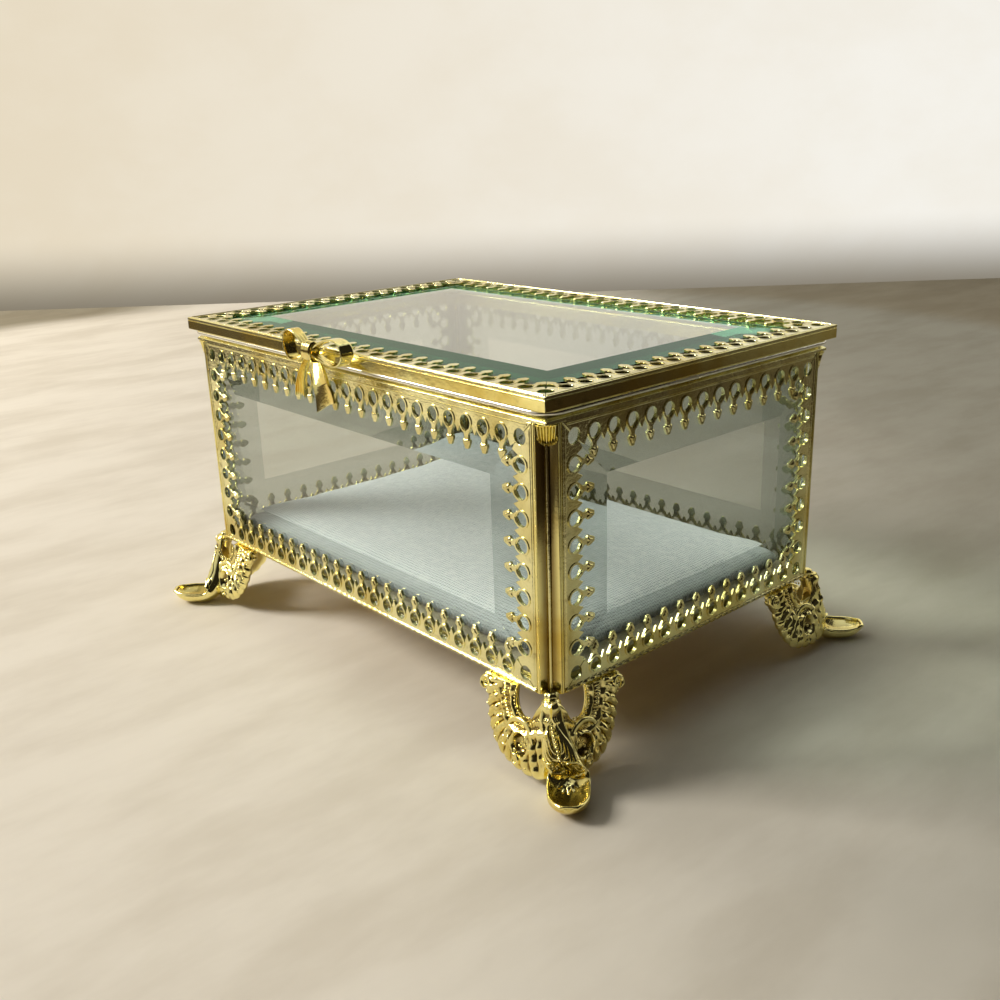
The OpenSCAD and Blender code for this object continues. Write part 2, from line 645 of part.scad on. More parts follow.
// Tails: t runs from the free end (0) up to the knot (1), u from -1 to 1 across
tail_back = face_y - 0.3;
tail_top = knot_z - 2.6 - seat_gap;
function left_tail(t, u) = let (free = [0.35 * u - 11.6, tail_top - 5.4 - 3.9 * u],
    root = [0.95 * u - 1.5, tail_top], p = free + t * (root - free))
    [bow_x + p[0], tail_back - ribbon_t - 0.9 + (0.45 - 0.2 * t) * cos(540 * u) - 1.1 * sin(90 * t),
        p[1] + 1.2 * sin(180 * t) * (1 - u) / 2];
function right_tail(t, u) = let (w = 2.7 - 0.9 * t)
    [bow_x + 2.6 - 1.4 * t + u * w, tail_back - ribbon_t - 0.7 - 1.1 * abs(u + 0.15) - 0.9 * t,
        tail_top - (1 - t) * (tail_l - 1.8 * (1 - abs(u)) - 1.3 * u)];
module bow_tail(left) {
    across = left ? [for (k = [-6:6]) k / 6] : [-1, -0.6, -0.15, 0, 0.3, 0.65, 1];
    front = [for (i = [0:7]) [for (u = across) left ? left_tail(i / 7, u) : right_tail(i / 7, u)]];
    back = [for (r = front) [for (p = r) p + [0, ribbon_t, 0]]];
    color(pale_gilt) sheet_solid(front, back);
}

base_plate();
base_board();
base_pad();
pane(0);  // front_pane
pane(1);  // right_pane
pane(2);  // back_pane
pane(3);  // left_pane
post(1, -1);  // post_front_right
post(1, 1);  // post_back_right
post(-1, 1);  // post_back_left
post(-1, -1);  // post_front_left
cap(1, -1);  // cap_front_right
cap(1, 1);  // cap_back_right
cap(-1, 1);  // cap_back_left
cap(-1, -1);  // cap_front_left
foot(1, -1);  // foot_front_right
foot(1, 1);  // foot_back_right
foot(-1, 1);  // foot_back_left
foot(-1, -1);  // foot_front_left
top_rail(0);  // front_top_rail
top_rail(1);  // right_top_rail
top_rail(2);  // back_top_rail
top_rail(3);  // left_top_rail
bottom_rail(0);  // front_bottom_rail
bottom_rail(1);  // right_bottom_rail
bottom_rail(2);  // back_bottom_rail
bottom_rail(3);  // left_bottom_rail
upright_strip(0, 1);  // front_right_strip
upright_strip(0, -1);  // front_left_strip
upright_strip(1, 1);  // right_back_strip
upright_strip(1, -1);  // right_front_strip
upright_strip(2, 1);  // back_left_strip
upright_strip(2, -1);  // back_right_strip
upright_strip(3, 1);  // left_front_strip
upright_strip(3, -1);  // left_back_strip
hinge_leaf_body(-hinge_x);  // hinge_leaf_body_left
hinge_leaf_body(hinge_x);  // hinge_leaf_body_right
hinge_pin(-hinge_x);  // hinge_pin_left
hinge_pin(hinge_x);  // hinge_pin_right
lid_rail(0);  // lid_front_rail
lid_rail(1);  // lid_right_rail
lid_rail(2);  // lid_back_rail
lid_rail(3);  // lid_left_rail
lid_strip(0);  // lid_front_strip
lid_strip(1);  // lid_right_strip
lid_strip(2);  // lid_back_strip
lid_strip(3);  // lid_left_strip
lid_lip();
lid_glass();
hinge_leaf_lid(-hinge_x);  // hinge_leaf_lid_left
hinge_leaf_lid(hinge_x);  // hinge_leaf_lid_right
bow_loop(-1);  // bow_left_loop
bow_loop(1);  // bow_right_loop
bow_knot();
bow_tail(true);  // bow_left_tail
bow_tail(false);  // bow_right_tail
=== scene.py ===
"""Looks of the glass casket box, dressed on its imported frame.

Sizes in the classes are millimetres, as in the part's source, and become metres in the mesh.
Sides are numbered 0 front, 1 right, 2 back, 3 left. A side's own frame has x along it, y inwards
from its outer face and z up; a corner's own frame has x and y pointing out of the body.
"""

import json
import logging
import math
from dataclasses import dataclass, field
from enum import Enum
from typing import Callable, Sequence

import bmesh
import bpy
import numpy as np
from mathutils import Matrix, Vector

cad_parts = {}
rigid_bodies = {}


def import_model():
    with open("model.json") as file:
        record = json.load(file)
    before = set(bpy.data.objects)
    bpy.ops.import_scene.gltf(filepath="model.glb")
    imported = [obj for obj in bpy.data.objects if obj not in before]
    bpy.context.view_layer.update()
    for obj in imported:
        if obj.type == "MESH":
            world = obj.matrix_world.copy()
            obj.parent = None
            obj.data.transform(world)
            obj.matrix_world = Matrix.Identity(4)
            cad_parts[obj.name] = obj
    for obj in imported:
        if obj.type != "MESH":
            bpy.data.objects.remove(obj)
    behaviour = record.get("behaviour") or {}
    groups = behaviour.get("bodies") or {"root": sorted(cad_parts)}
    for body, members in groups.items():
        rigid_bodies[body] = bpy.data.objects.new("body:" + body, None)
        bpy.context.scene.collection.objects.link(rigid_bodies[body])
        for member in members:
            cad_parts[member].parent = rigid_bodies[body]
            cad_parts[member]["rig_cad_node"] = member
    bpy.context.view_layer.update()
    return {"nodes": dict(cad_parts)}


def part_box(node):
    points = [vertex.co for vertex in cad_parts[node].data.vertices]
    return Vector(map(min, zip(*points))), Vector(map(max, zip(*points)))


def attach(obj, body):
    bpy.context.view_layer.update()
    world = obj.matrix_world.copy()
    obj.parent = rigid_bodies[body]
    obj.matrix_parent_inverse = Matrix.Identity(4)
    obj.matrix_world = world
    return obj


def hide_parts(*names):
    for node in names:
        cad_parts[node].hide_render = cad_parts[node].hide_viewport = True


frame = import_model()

MM = 0.001
TAU = 2 * math.pi
log = logging.getLogger("casket")

Array = np.ndarray
Color = tuple[float, float, float]


class Body(Enum):
    """The two bodies that pieces ride on."""

    CASKET = "casket"
    LID = "lid"


class Slot(Enum):
    """The record's material slots."""

    GILT = "gilt"
    GALLERY = "gallery"
    CAST = "cast_trim"
    LIP = "lip"
    PIN = "pin"
    PANE = "pane"
    LID_PANE = "lid_pane"
    PAD = "pad"
    BOARD = "board"


# ---- Sizes ---------------------------------------------------------------------------------


@dataclass(frozen=True)
class Sizes:
    """Sizes of the solids that the dressed pieces are fitted to, in millimetres."""

    body_l: float = 135
    body_w: float = 91
    body_h: float = 56
    foot_h: float = 19
    post_w: float = 4
    post_band: float = 1
    groove_d: float = 2.4
    cap_h: float = 4.3
    strip_w: float = 8.7
    strip_t: float = 0.7
    prong_pitch: float = 5.28
    strip_band: float = 1.65
    hole_r: float = 1.5
    hole_point: float = 1.85
    arm_w: float = 0.6
    crown_h: float = 1.4
    flange_t: float = 0.8
    pane_t: float = 3
    bevel_drop: float = 1
    bevel_w: float = 12.5
    lid_over: float = 1.5
    lid_face_t: float = 0.9
    lid_flange_t: float = 0.6
    lid_glass_t: float = 2.25
    lid_bevel_drop: float = 1.3
    lid_bevel_w: float = 15
    lip_h: float = 1.25
    lip_over: float = 1.2
    lip_r: float = 5
    lid_gap: float = 0.3
    seat_gap: float = 0.05
    mitre_gap: float = 0.1

    @property
    def z_post(self) -> float:
        """Height of the posts' tops."""
        return self.foot_h + self.body_h

    @property
    def z_lip(self) -> float:
        """Height of the lip's underside."""
        return self.z_post + self.crown_h + self.lid_gap

    @property
    def z_lid(self) -> float:
        """Height of the lid rails' underside."""
        return self.z_lip + self.lip_h + self.seat_gap

    @property
    def z_strip(self) -> float:
        """Height of the lid rails' upper edge."""
        edge = self.lid_glass_t - self.lid_bevel_drop
        slope = self.lid_bevel_drop / self.lid_bevel_w
        rise = slope * (self.strip_w - self.lid_face_t)
        return self.z_lid + self.lid_flange_t + edge + rise + 2 * self.seat_gap

    @property
    def rail_d(self) -> float:
        """Depth of the top rail inwards from the frame's outer face."""
        slope = self.bevel_drop / self.bevel_w
        out = self.strip_t + self.seat_gap - self.bevel_drop + slope * self.strip_w
        return out + self.pane_t + self.mitre_gap + self.flange_t

    @property
    def lid_l(self) -> float:
        """Length of the lid."""
        return self.body_l + 2 * self.lid_over

    @property
    def lid_w(self) -> float:
        """Width of the lid."""
        return self.body_w + 2 * self.lid_over

    def side(self, points: Array, i: int, lid: bool = False) -> Array:
        """Turns points from side i's own frame into the part's.

        Args:
            points: Places in the side's frame, last axis x, y, z.
            i: The side's number.
            lid: True for the lid's outline, False for the body's.

        Returns:
            The places in the part's frame.
        """
        l, w = (self.lid_l, self.lid_w) if lid else (self.body_l, self.body_w)
        half = (w if i % 2 == 0 else l) / 2
        c, s = (1, 0, -1, 0)[i], (0, 1, 0, -1)[i]
        moved = points - np.array([0, half, 0])
        turn = np.array([[c, s, 0], [-s, c, 0], [0, 0, 1]], float)
        return moved @ turn

    def corner(self, points: Array, sx: int, sy: int) -> Array:
        """Turns points from corner (sx, sy)'s own frame into the part's."""
        out = points * np.array([sx, sy, 1.0])
        return out + np.array([sx * self.body_l / 2, sy * self.body_w / 2, 0])

    def run(self, i: int, lid: bool = False) -> float:
        """Length of side i of the body or of the lid."""
        l, w = (self.lid_l, self.lid_w) if lid else (self.body_l, self.body_w)
        return l if i % 2 == 0 else w


SIZES = Sizes()
CORNERS = {
    "front_right": (1, -1),
    "back_right": (1, 1),
    "back_left": (-1, 1),
    "front_left": (-1, -1),
}
SIDES = ("front", "right", "back", "left")


# ---- Meshes --------------------------------------------------------------------------------


@dataclass
class Skin:
    """Surface patches that become one mesh."""

    points: list[Array] = field(default_factory=list)
    faces: list[Array] = field(default_factory=list)
    count: int = 0

    def add(self, points: Array, faces: Sequence[Array]) -> None:
        """Adds points (n, 3) and arrays of faces that index them."""
        self.faces += [f + self.count for f in faces]
        self.points.append(points)
        self.count += len(points)

    def loft(self, rows: Array, joined: bool = False, ends: bool = True) -> None:
        """Adds a surface through closed rows of points.

        Args:
            rows: Grid (n, m, 3); each row is a closed ring.
            joined: True where the last row meets the first again.
            ends: True to close both ends with a fan round its middle.
        """
        n, m = rows.shape[:2]
        at = np.arange(n * m).reshape(n, m)
        nxt = np.roll(at, -1, 0) if joined else at[1:]
        low = at if joined else at[:-1]
        quads = np.stack([low, np.roll(low, -1, 1), np.roll(nxt, -1, 1), nxt], -1)
        points, faces = rows.reshape(-1, 3), [quads.reshape(-1, 4)]
        if not joined and ends:
            tips = np.stack([rows[0].mean(0), rows[-1].mean(0)])
            points = np.concatenate([points, tips])
            for ring, tip in ((at[0], n * m), (at[-1], n * m + 1)):
                fan = np.stack([ring, np.roll(ring, -1), np.full(m, tip)], -1)
                faces.append(fan if tip > n * m else fan[:, ::-1])
        self.add(points, faces)

    def sheet(self, front: Array, back: Array) -> None:
        """Adds a closed sheet between a front grid and a back grid of the same shape."""
        round_trip = np.concatenate([front, back[:, ::-1]], 1)
        n, m = round_trip.shape[:2]
        at = np.arange(n * m).reshape(n, m)
        low, nxt = at[:-1], at[1:]
        quads = [np.stack([low, np.roll(low, -1, 1), np.roll(nxt, -1, 1), nxt], -1)]
        k = m // 2
        for row in (at[0], at[-1]):
            a, b = row[: k - 1], row[1:k]
            c, d = row[::-1][1:k], row[::-1][: k - 1]
            quads.append(np.stack([a, b, c, d], -1))
        self.add(round_trip.reshape(-1, 3), [q.reshape(-1, 4) for q in quads])

    def scatter(self, rows: Array, origins: Array, axes: Array, joined: bool = False) -> None:
        """Adds one lofted shape at many places.

        Args:
            rows: Grid (n, m, 3) of the shape in its own frame.
            origins: Places (k, 3).
            axes: Own frames (k, 3, 3), one axis a row.
            joined: True where the shape's last row meets the first.
        """
        one = Skin()
        one.loft(rows, joined)
        shape = np.concatenate(one.points)
        placed = origins[:, None] + shape @ axes
        shift = (np.arange(len(origins)) * len(shape))[:, None, None]
        faces = [(f[None] + shift).reshape(-1, f.shape[1]) for f in one.faces]
        self.add(placed.reshape(-1, 3), faces)

    def build(self, name: str, sharp: float = 40) -> bpy.types.Object:
        """Makes the object, its faces outwards and smooth up to an angle.

        Args:
            name: The piece's name.
            sharp: Angle in degrees past which an edge stays sharp.

        Returns:
            The object, at the origin, in metres.
        """
        mesh = bpy.data.meshes.new(name)
        points = np.concatenate(self.points) * MM
        mesh.from_pydata(points.tolist(), [], [f for a in self.faces for f in a.tolist()])
        tidy(mesh, merge=1e-7)
        mesh.shade_smooth()
        mesh.set_sharp_from_angle(angle=math.radians(sharp))
        piece = bpy.data.objects.new(name, mesh)
        bpy.context.scene.collection.objects.link(piece)
        return piece


def tidy(mesh: bpy.types.Mesh, merge: float, flat: float = 0) -> None:
    """Merges doubles, joins flat faces and turns all faces outwards.

    Args:
        mesh: The mesh to change.
        merge: Distance in metres below which points are one.
        flat: Angle in degrees below which neighbouring faces are joined; 0 joins none.
    """
    work = bmesh.new()
    work.from_mesh(mesh)
    bmesh.ops.remove_doubles(work, verts=work.verts, dist=merge)
    if flat:
        bmesh.ops.dissolve_limit(
            work, angle_limit=math.radians(flat), verts=work.verts, edges=work.edges
        )
    else:
        bmesh.ops.recalc_face_normals(work, faces=work.faces)
    work.to_mesh(mesh)
    work.free()


def rounded_copy(
    node: str, edge: float, segments: int = 2, sharp: float = 40, flat: bool = False
) -> bpy.types.Object:
    """Copies a node's solid with its edges rounded, in the node's place.

    Args:
        node: The node that is copied and replaced.
        edge: Width of the rounding, in millimetres.
        segments: Faces across a rounding.
        sharp: Angle in degrees past which an edge stays sharp.
        flat: True for glass, whose faces are all flat.

    Returns:
        The new piece, which replaces the node.
    """
    mesh = frame["nodes"][node].data.copy()
    mesh.name = f"{node}_rounded"
    tidy(mesh, merge=2e-6, flat=0.6)
    if flat:
        mesh.shade_flat()
    else:
        mesh.shade_smooth()
        mesh.set_sharp_from_angle(angle=math.radians(sharp))
    piece = bpy.data.objects.new(mesh.name, mesh)
    bpy.context.scene.collection.objects.link(piece)
    bevel = piece.modifiers.new("edge", "BEVEL")
    bevel.width = edge * MM
    bevel.segments = segments
    bevel.limit_method = "ANGLE"
    bevel.angle_limit = math.radians(35)
    bevel.use_clamp_overlap = False
    bevel.harden_normals = not flat
    view = bpy.context.evaluated_depsgraph_get()
    final = bpy.data.meshes.new_from_object(piece.evaluated_get(view))
    piece.modifiers.clear()
    piece.data = final
    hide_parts(node)
    return piece


def dress(
    piece: bpy.types.Object, body: Body, finish: bpy.types.Material
) -> bpy.types.Object:
    """Gives a piece its finish and the body it rides on, and reports it."""
    piece.data.materials.clear()
    piece.data.materials.append(finish)
    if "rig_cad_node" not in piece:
        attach(piece, body.value)
    log.info("%s rides on %s with %s", piece.name, body.value, finish.name)
    return piece


def mark_relief(piece: bpy.types.Object, steps: int = 8, scale: float = 0.12) -> None:
    """Writes the attribute relief: above 0 in hollows and below 0 on edges; the gilding paints shade in the hollows
    from it.

    The points are averaged with their neighbours a few times. A point's relief is how far the
    averaged surface lies above it along its normal, as a share of scale.

    Args:
        piece: The piece to mark.
        steps: How often the points are averaged.
        scale: Height in millimetres that counts as 1.
    """
    mesh = piece.data
    n = len(mesh.vertices)
    start, normal = np.empty(n * 3), np.empty(n * 3)
    mesh.vertices.foreach_get("co", start)
    mesh.vertices.foreach_get("normal", normal)
    start, normal = start.reshape(n, 3), normal.reshape(n, 3)
    pairs = np.empty(len(mesh.edges) * 2, int)
    mesh.edges.foreach_get("vertices", pairs)
    here = np.concatenate([pairs[::2], pairs[1::2]])
    there = np.concatenate([pairs[1::2], pairs[::2]])
    share = np.maximum(np.bincount(here, minlength=n), 1)
    now = start.copy()
    for _ in range(steps):
        sums = [np.bincount(here, weights=now[there, k], minlength=n) for k in range(3)]
        now = 0.5 * now + 0.5 * np.stack(sums, -1) / share[:, None]
    lift = ((now - start) * normal).sum(1) / (scale * MM)
    write_relief(piece, np.clip(lift, -1, 1))


def write_relief(piece: bpy.types.Object, values: Array) -> None:
    """Stores one relief value for each of a piece's points."""
    layer = piece.data.attributes.new("relief", "FLOAT", "POINT")
    layer.data.foreach_set("value", values.astype(np.float32))


def second_finish(piece: bpy.types.Object, finish: bpy.types.Material, axis: int) -> None:
    """Gives the slightly slanted faces of a pane, its bevels, their own finish, whose darker tint is partly painted
    shade.

    Args:
        piece: The pane.
        finish: The bevels' finish.
        axis: The pane's thickness lies along this axis.
    """
    normal = np.empty(len(piece.data.polygons) * 3)
    piece.data.polygons.foreach_get("normal", normal)
    lean = np.abs(normal.reshape(-1, 3)[:, axis])
    piece.data.materials.append(finish)
    picked = ((lean > 0.97) & (lean < 0.9995)).astype(np.int32)
    piece.data.polygons.foreach_set("material_index", picked)


def ring(n: int) -> Array:
    """Angles of n points round a circle."""
    return np.arange(n) * TAU / n


def dome(radius: float, height: float, lobes: float = 0, around: int = 12) -> Array:
    """Rows of a low dome: radius falls as the cosine while height rises as the sine.

    Args:
        radius: Radius at the foot.
        height: Height at the top.
        lobes: How deep three lobes are cut into the outline, as a share of the radius.
        around: Points round a row.

    Returns:
        Grid (4, around, 3), z upwards.
    """
    a = ring(around)
    rise = np.array([0.0, 0.55, 1.1, 1.45])[:, None]
    r = radius * np.cos(rise) * (1 + lobes * np.cos(3 * (a - math.pi / 2)))
    return np.stack([r * np.cos(a), r * np.sin(a), height * np.sin(rise) + 0 * a], -1)


def smooth_path(knots: Array, n: int) -> Array:
    """Points along a smooth curve through knots, by uniform Catmull-Rom cubics.

    Args:
        knots: Places (k, d) that the curve passes through.
        n: How many points come back.

    Returns:
        Points (n, d).
    """
    k = np.concatenate([[2 * knots[0] - knots[1]], knots, [2 * knots[-1] - knots[-2]]])
    u = np.linspace(0, len(knots) - 1, n)
    i = np.minimum(u.astype(int), len(knots) - 2)
    t = (u - i)[:, None]
    a, b, c, d = k[i], k[i + 1], k[i + 2], k[i + 3]
    return 0.5 * (
        2 * b + (c - a) * t + (2 * a - 5 * b + 4 * c - d) * t**2 + (3 * b - a - 3 * c + d) * t**3
    )


# ---- Node trees ----------------------------------------------------------------------------


class Tree:
    """Short way to add nodes to a tree and to wire them."""

    def __init__(self, tree: bpy.types.NodeTree) -> None:
        """Keeps the tree and empties it."""
        self.tree = tree
        tree.nodes.clear()

    def add(self, kind: str, props: dict | None = None, **inputs: object) -> bpy.types.Node:
        """Adds one node.

        Args:
            kind: Node type without its ShaderNode prefix.
            props: Settings of the node itself.
            inputs: Values or sockets by input name, with _ for a space, or i0, i1 by place.

        Returns:
            The node.
        """
        node = self.tree.nodes.new(kind if kind.startswith("Node") else f"ShaderNode{kind}")
        for key, value in (props or {}).items():
            setattr(node, key, value)
        for key, value in inputs.items():
            by_place = key[0] == "i" and key[1:].isdigit()
            socket = node.inputs[int(key[1:]) if by_place else key.replace("_", " ")]
            if isinstance(value, bpy.types.NodeSocket):
                self.tree.links.new(value, socket)
            else:
                socket.default_value = value
        return node

    def math(self, how: str, a: object, b: object = 0.0, clamp: bool = False) -> object:
        """Output of a Math node."""
        return self.add("Math", {"operation": how, "use_clamp": clamp}, i0=a, i1=b).outputs[0]

    def noise(self, vector: object, scale: float, detail: float = 2, rough: float = 0.5) -> object:
        """Factor of a Noise Texture."""
        node = self.add("TexNoise", Vector=vector, Scale=scale, Detail=detail, Roughness=rough)
        return node.outputs["Fac"]

    def remap(self, value: object, a: float, b: float, low: float = 0, high: float = 1) -> object:
        """Value carried smoothly from the span a to b onto the span low to high."""
        props = {"interpolation_type": "SMOOTHSTEP"}
        node = self.add("MapRange", props, i0=value, i1=a, i2=b, i3=low, i4=high)
        return node.outputs[0]

    def blend(self, factor: object, a: object, b: object, how: str = "MIX") -> object:
        """Colour between a and b."""
        props = {"data_type": "RGBA", "blend_type": how}
        node = self.add("Mix", props)
        for socket, value in ((0, factor), (6, a), (7, b)):
            if isinstance(value, bpy.types.NodeSocket):
                self.tree.links.new(value, node.inputs[socket])
            else:
                four = isinstance(value, tuple)
                node.inputs[socket].default_value = (*value, 1.0) if four else value
        return node.outputs[2]


def group(name: str, inputs: dict[str, object], outputs: dict[str, str]) -> Tree:
    """Makes an empty node group with named sockets.

    Args:
        name: The group's name.
        inputs: Default by input name; a tuple is a colour and a number a float.
        outputs: Socket type by output name.

    Returns:
        The group's tree, ready for nodes.
    """
    tree = bpy.data.node_groups.new(name, "ShaderNodeTree")
    for key, value in inputs.items():
        kind = "NodeSocketColor" if isinstance(value, tuple) else "NodeSocketFloat"
        socket = tree.interface.new_socket(key, in_out="INPUT", socket_type=kind)
        socket.default_value = (*value, 1.0) if isinstance(value, tuple) else value
    for key, kind in outputs.items():
        tree.interface.new_socket(key, in_out="OUTPUT", socket_type=kind)
    return Tree(tree)


def gilding_group() -> bpy.types.NodeTree:
    """Builds the gilding group: cloudy gold, small stains, painted shade in hollows, brushed roughness and grain."""
    g = group(
        "gilding",
        {
            "Bright": (0.9, 0.75, 0.3),
            "Deep": (0.7, 0.5, 0.15),
            "Stain": (0.3, 0.2, 0.05),
            "Cove": (0.4, 0.22, 0.03),
            "Roughness": 0.16,
            "Wear": 0.5,
        },
        {"Color": "NodeSocketColor", "Roughness": "NodeSocketFloat", "Height": "NodeSocketFloat"},
    )
    given = g.add("NodeGroupInput").outputs
    place = g.add("TexCoord").outputs["Object"]
    cloud = g.remap(g.noise(place, 70, 3), 0.38, 0.66)
    fleck = g.remap(g.noise(place, 900, 4, 0.6), 0.55, 0.75)
    spot = g.remap(g.noise(place, 260, 5, 0.65), 0.58, 0.72)
    tone = g.blend(cloud, given["Bright"], given["Deep"])
    relief = g.add("Attribute", {"attribute_name": "relief"}).outputs["Fac"]
    # Painted shade: where the relief attribute marks a hollow, the tone is darkened towards the hollow shade colour
    # and made rougher.
    cove = g.remap(relief, 0.05, 0.8)
    crest = g.remap(g.math("MULTIPLY", relief, -1.0), 0.1, 0.8)
    worn = g.math("MULTIPLY", g.math("MAXIMUM", spot, g.math("MULTIPLY", fleck, 0.5)), given["Wear"])
    tone = g.blend(g.math("MULTIPLY", crest, 0.6), tone, given["Bright"])
    tone = g.blend(g.math("MULTIPLY", cove, 0.8), tone, given["Cove"])
    color = g.blend(worn, tone, given["Stain"])
    haze = g.math("MULTIPLY", g.math("ADD", cloud, worn), 0.09)
    haze = g.math("ADD", haze, g.math("MULTIPLY", cove, 0.08))
    rough = g.math("ADD", given["Roughness"], haze, clamp=True)
    grain = g.math("ADD", g.noise(place, 1600, 3), g.math("MULTIPLY", g.noise(place, 320, 2), 1.6))
    g.add("NodeGroupOutput", Color=color, Roughness=rough, Height=grain)
    return g.tree


def weave_group() -> bpy.types.NodeTree:
    """Builds the linen group: warp and weft threads that pass over each other in turn."""
    g = group(
        "linen_weave",
        {
            "Pitch": 0.6,
            "Thread": (0.8, 0.83, 0.86),
            "Gap": (0.4, 0.43, 0.46),
            "Fleck": (0.9, 0.9, 0.88),
        },
        {"Color": "NodeSocketColor", "Height": "NodeSocketFloat", "Mask": "NodeSocketFloat"},
    )
    given = g.add("NodeGroupInput").outputs
    place = g.add("TexCoord").outputs["Object"]
    drift = g.add("TexNoise", Vector=place, Scale=90.0, Detail=2.0).outputs["Color"]
    shift = g.add("VectorMath", {"operation": "SCALE"}, i0=drift, Scale=0.0011).outputs[0]
    bent = g.add("VectorMath", i0=place, i1=shift).outputs[0]
    axis = g.add("SeparateXYZ", Vector=bent).outputs
    step = g.math("DIVIDE", math.pi / MM, given["Pitch"])
    u, v = (g.math("MULTIPLY", a, step) for a in (axis["X"], axis["Y"]))
    warp = g.math("ABSOLUTE", g.math("SINE", u))
    weft = g.math("ABSOLUTE", g.math("SINE", v))
    over = g.math("MULTIPLY", g.math("COSINE", u), g.math("COSINE", v))
    side = g.remap(over, -0.35, 0.35)
    flip = g.math("SUBTRACT", 1.0, side)
    lift = g.math("ADD", g.math("MULTIPLY", warp, side), g.math("MULTIPLY", weft, flip))
    height = g.math("POWER", lift, 0.7)
    slub = g.remap(g.noise(place, 500, 3), 0.42, 0.7)
    tone = g.blend(g.remap(height, 0.25, 0.8), given["Gap"], given["Thread"])
    color = g.blend(g.math("MULTIPLY", slub, 0.45), tone, given["Fleck"])
    g.add("NodeGroupOutput", Color=color, Height=height, Mask=slub)
    return g.tree


def fibre_group() -> bpy.types.NodeTree:
    """Builds the fibre group: long streaks and specks for pressed board, glass film and floor."""
    g = group(
        "fibres",
        {"Light": (0.6, 0.5, 0.4), "Dark": (0.4, 0.33, 0.25), "Scale": 100.0},
        {"Color": "NodeSocketColor", "Height": "NodeSocketFloat"},
    )
    given = g.add("NodeGroupInput").outputs
    place = g.add("TexCoord").outputs["Object"]
    wide = g.add("Mapping", Vector=place, Scale=(1.0, 0.35, 1.0)).outputs[0]
    flow = g.add("TexNoise", Vector=wide, Scale=given["Scale"], Detail=5.0, Roughness=0.6)
    speck = g.noise(place, 1500, 2)
    tone = g.remap(flow.outputs["Fac"], 0.35, 0.68)
    g.add(
        "NodeGroupOutput",
        Color=g.blend(tone, given["Light"], given["Dark"]),
        Height=g.math("ADD", tone, g.math("MULTIPLY", speck, 0.3)),
    )
    return g.tree


# ---- Finishes ------------------------------------------------------------------------------


@dataclass(frozen=True)
class Gilding:
    """Polished gold-coloured plating on brass, with cloudy tone, small stains and painted shade in its hollows."""

    name: str
    bright: Color
    deep: Color
    stain: Color
    # Colour of the painted shade in the hollows.
    cove: Color = (0.36, 0.20, 0.03)
    roughness: float = 0.16
    wear: float = 0.4
    bump: float = 0.02

    def build(self, groups: dict[str, bpy.types.NodeTree]) -> bpy.types.Material:
        """Makes the material from the gilding group."""
        m = bpy.data.materials.new(self.name)
        m.use_nodes = True
        t = Tree(m.node_tree)
        g = t.add(
            "Group",
            {"node_tree": groups["gilding"]},
            Bright=(*self.bright, 1),
            Deep=(*self.deep, 1),
            Stain=(*self.stain, 1),
            Cove=(*self.cove, 1),
            Roughness=self.roughness,
            Wear=self.wear,
        ).outputs
        bump = t.add("Bump", Height=g["Height"], Strength=self.bump * 10, Distance=0.00012)
        p = t.add(
            "BsdfPrincipled",
            Base_Color=g["Color"],
            Metallic=1.0,
            Roughness=g["Roughness"],
            Normal=bump.outputs[0],
        )
        t.add("OutputMaterial", Surface=p.outputs[0])
        return m


@dataclass(frozen=True)
class ClearGlass:
    """Clear bevelled glass with a faint tint, which lets the lamps' light through."""

    name: str
    tint: Color
    grazing: Color | None = None
    shade: Color = (0.93, 0.96, 0.94)
    clear: float = 1.0
    ior: float = 1.5
    waviness: float = 0.05

    def build(self, groups: dict[str, bpy.types.NodeTree]) -> bpy.types.Material:
        """Makes the material; its tint drifts a little and its face is faintly wavy.

        Seen aslant it takes the grazing tint: partly the glass's own green, deeper where more glass lies in the way,
        and partly painted shade for the dark that the bevels refract.
        """
        m = bpy.data.materials.new(self.name)
        m.use_nodes = True
        t = Tree(m.node_tree)
        pale = tuple(0.04 + 0.96 * c for c in self.tint)
        film = t.add(
            "Group",
            {"node_tree": groups["fibres"]},
            Light=(*self.tint, 1),
            Dark=(*pale, 1),
            Scale=40.0,
        ).outputs
        color = film["Color"]
        # Partly painted shade: a deep green tint where the face is seen aslant.
        if self.grazing:
            facing = t.add("LayerWeight").outputs["Facing"]
            color = t.blend(t.remap(facing, 0.35, 0.58), color, self.grazing)
        bump = t.add("Bump", Height=film["Height"], Strength=self.waviness, Distance=0.00005)
        p = t.add(
            "BsdfPrincipled",
            Base_Color=color,
            Metallic=0.0,
            Roughness=0.0,
            IOR=self.ior,
            Transmission_Weight=self.clear,
            Normal=bump.outputs[0],
        )
        clear = t.add("BsdfTransparent", Color=(*self.shade, 1))
        path = t.add("LightPath").outputs["Is Shadow Ray"]
        mix = t.add("MixShader", i0=path, i1=p.outputs[0], i2=clear.outputs[0])
        t.add("OutputMaterial", Surface=mix.outputs[0])
        return m


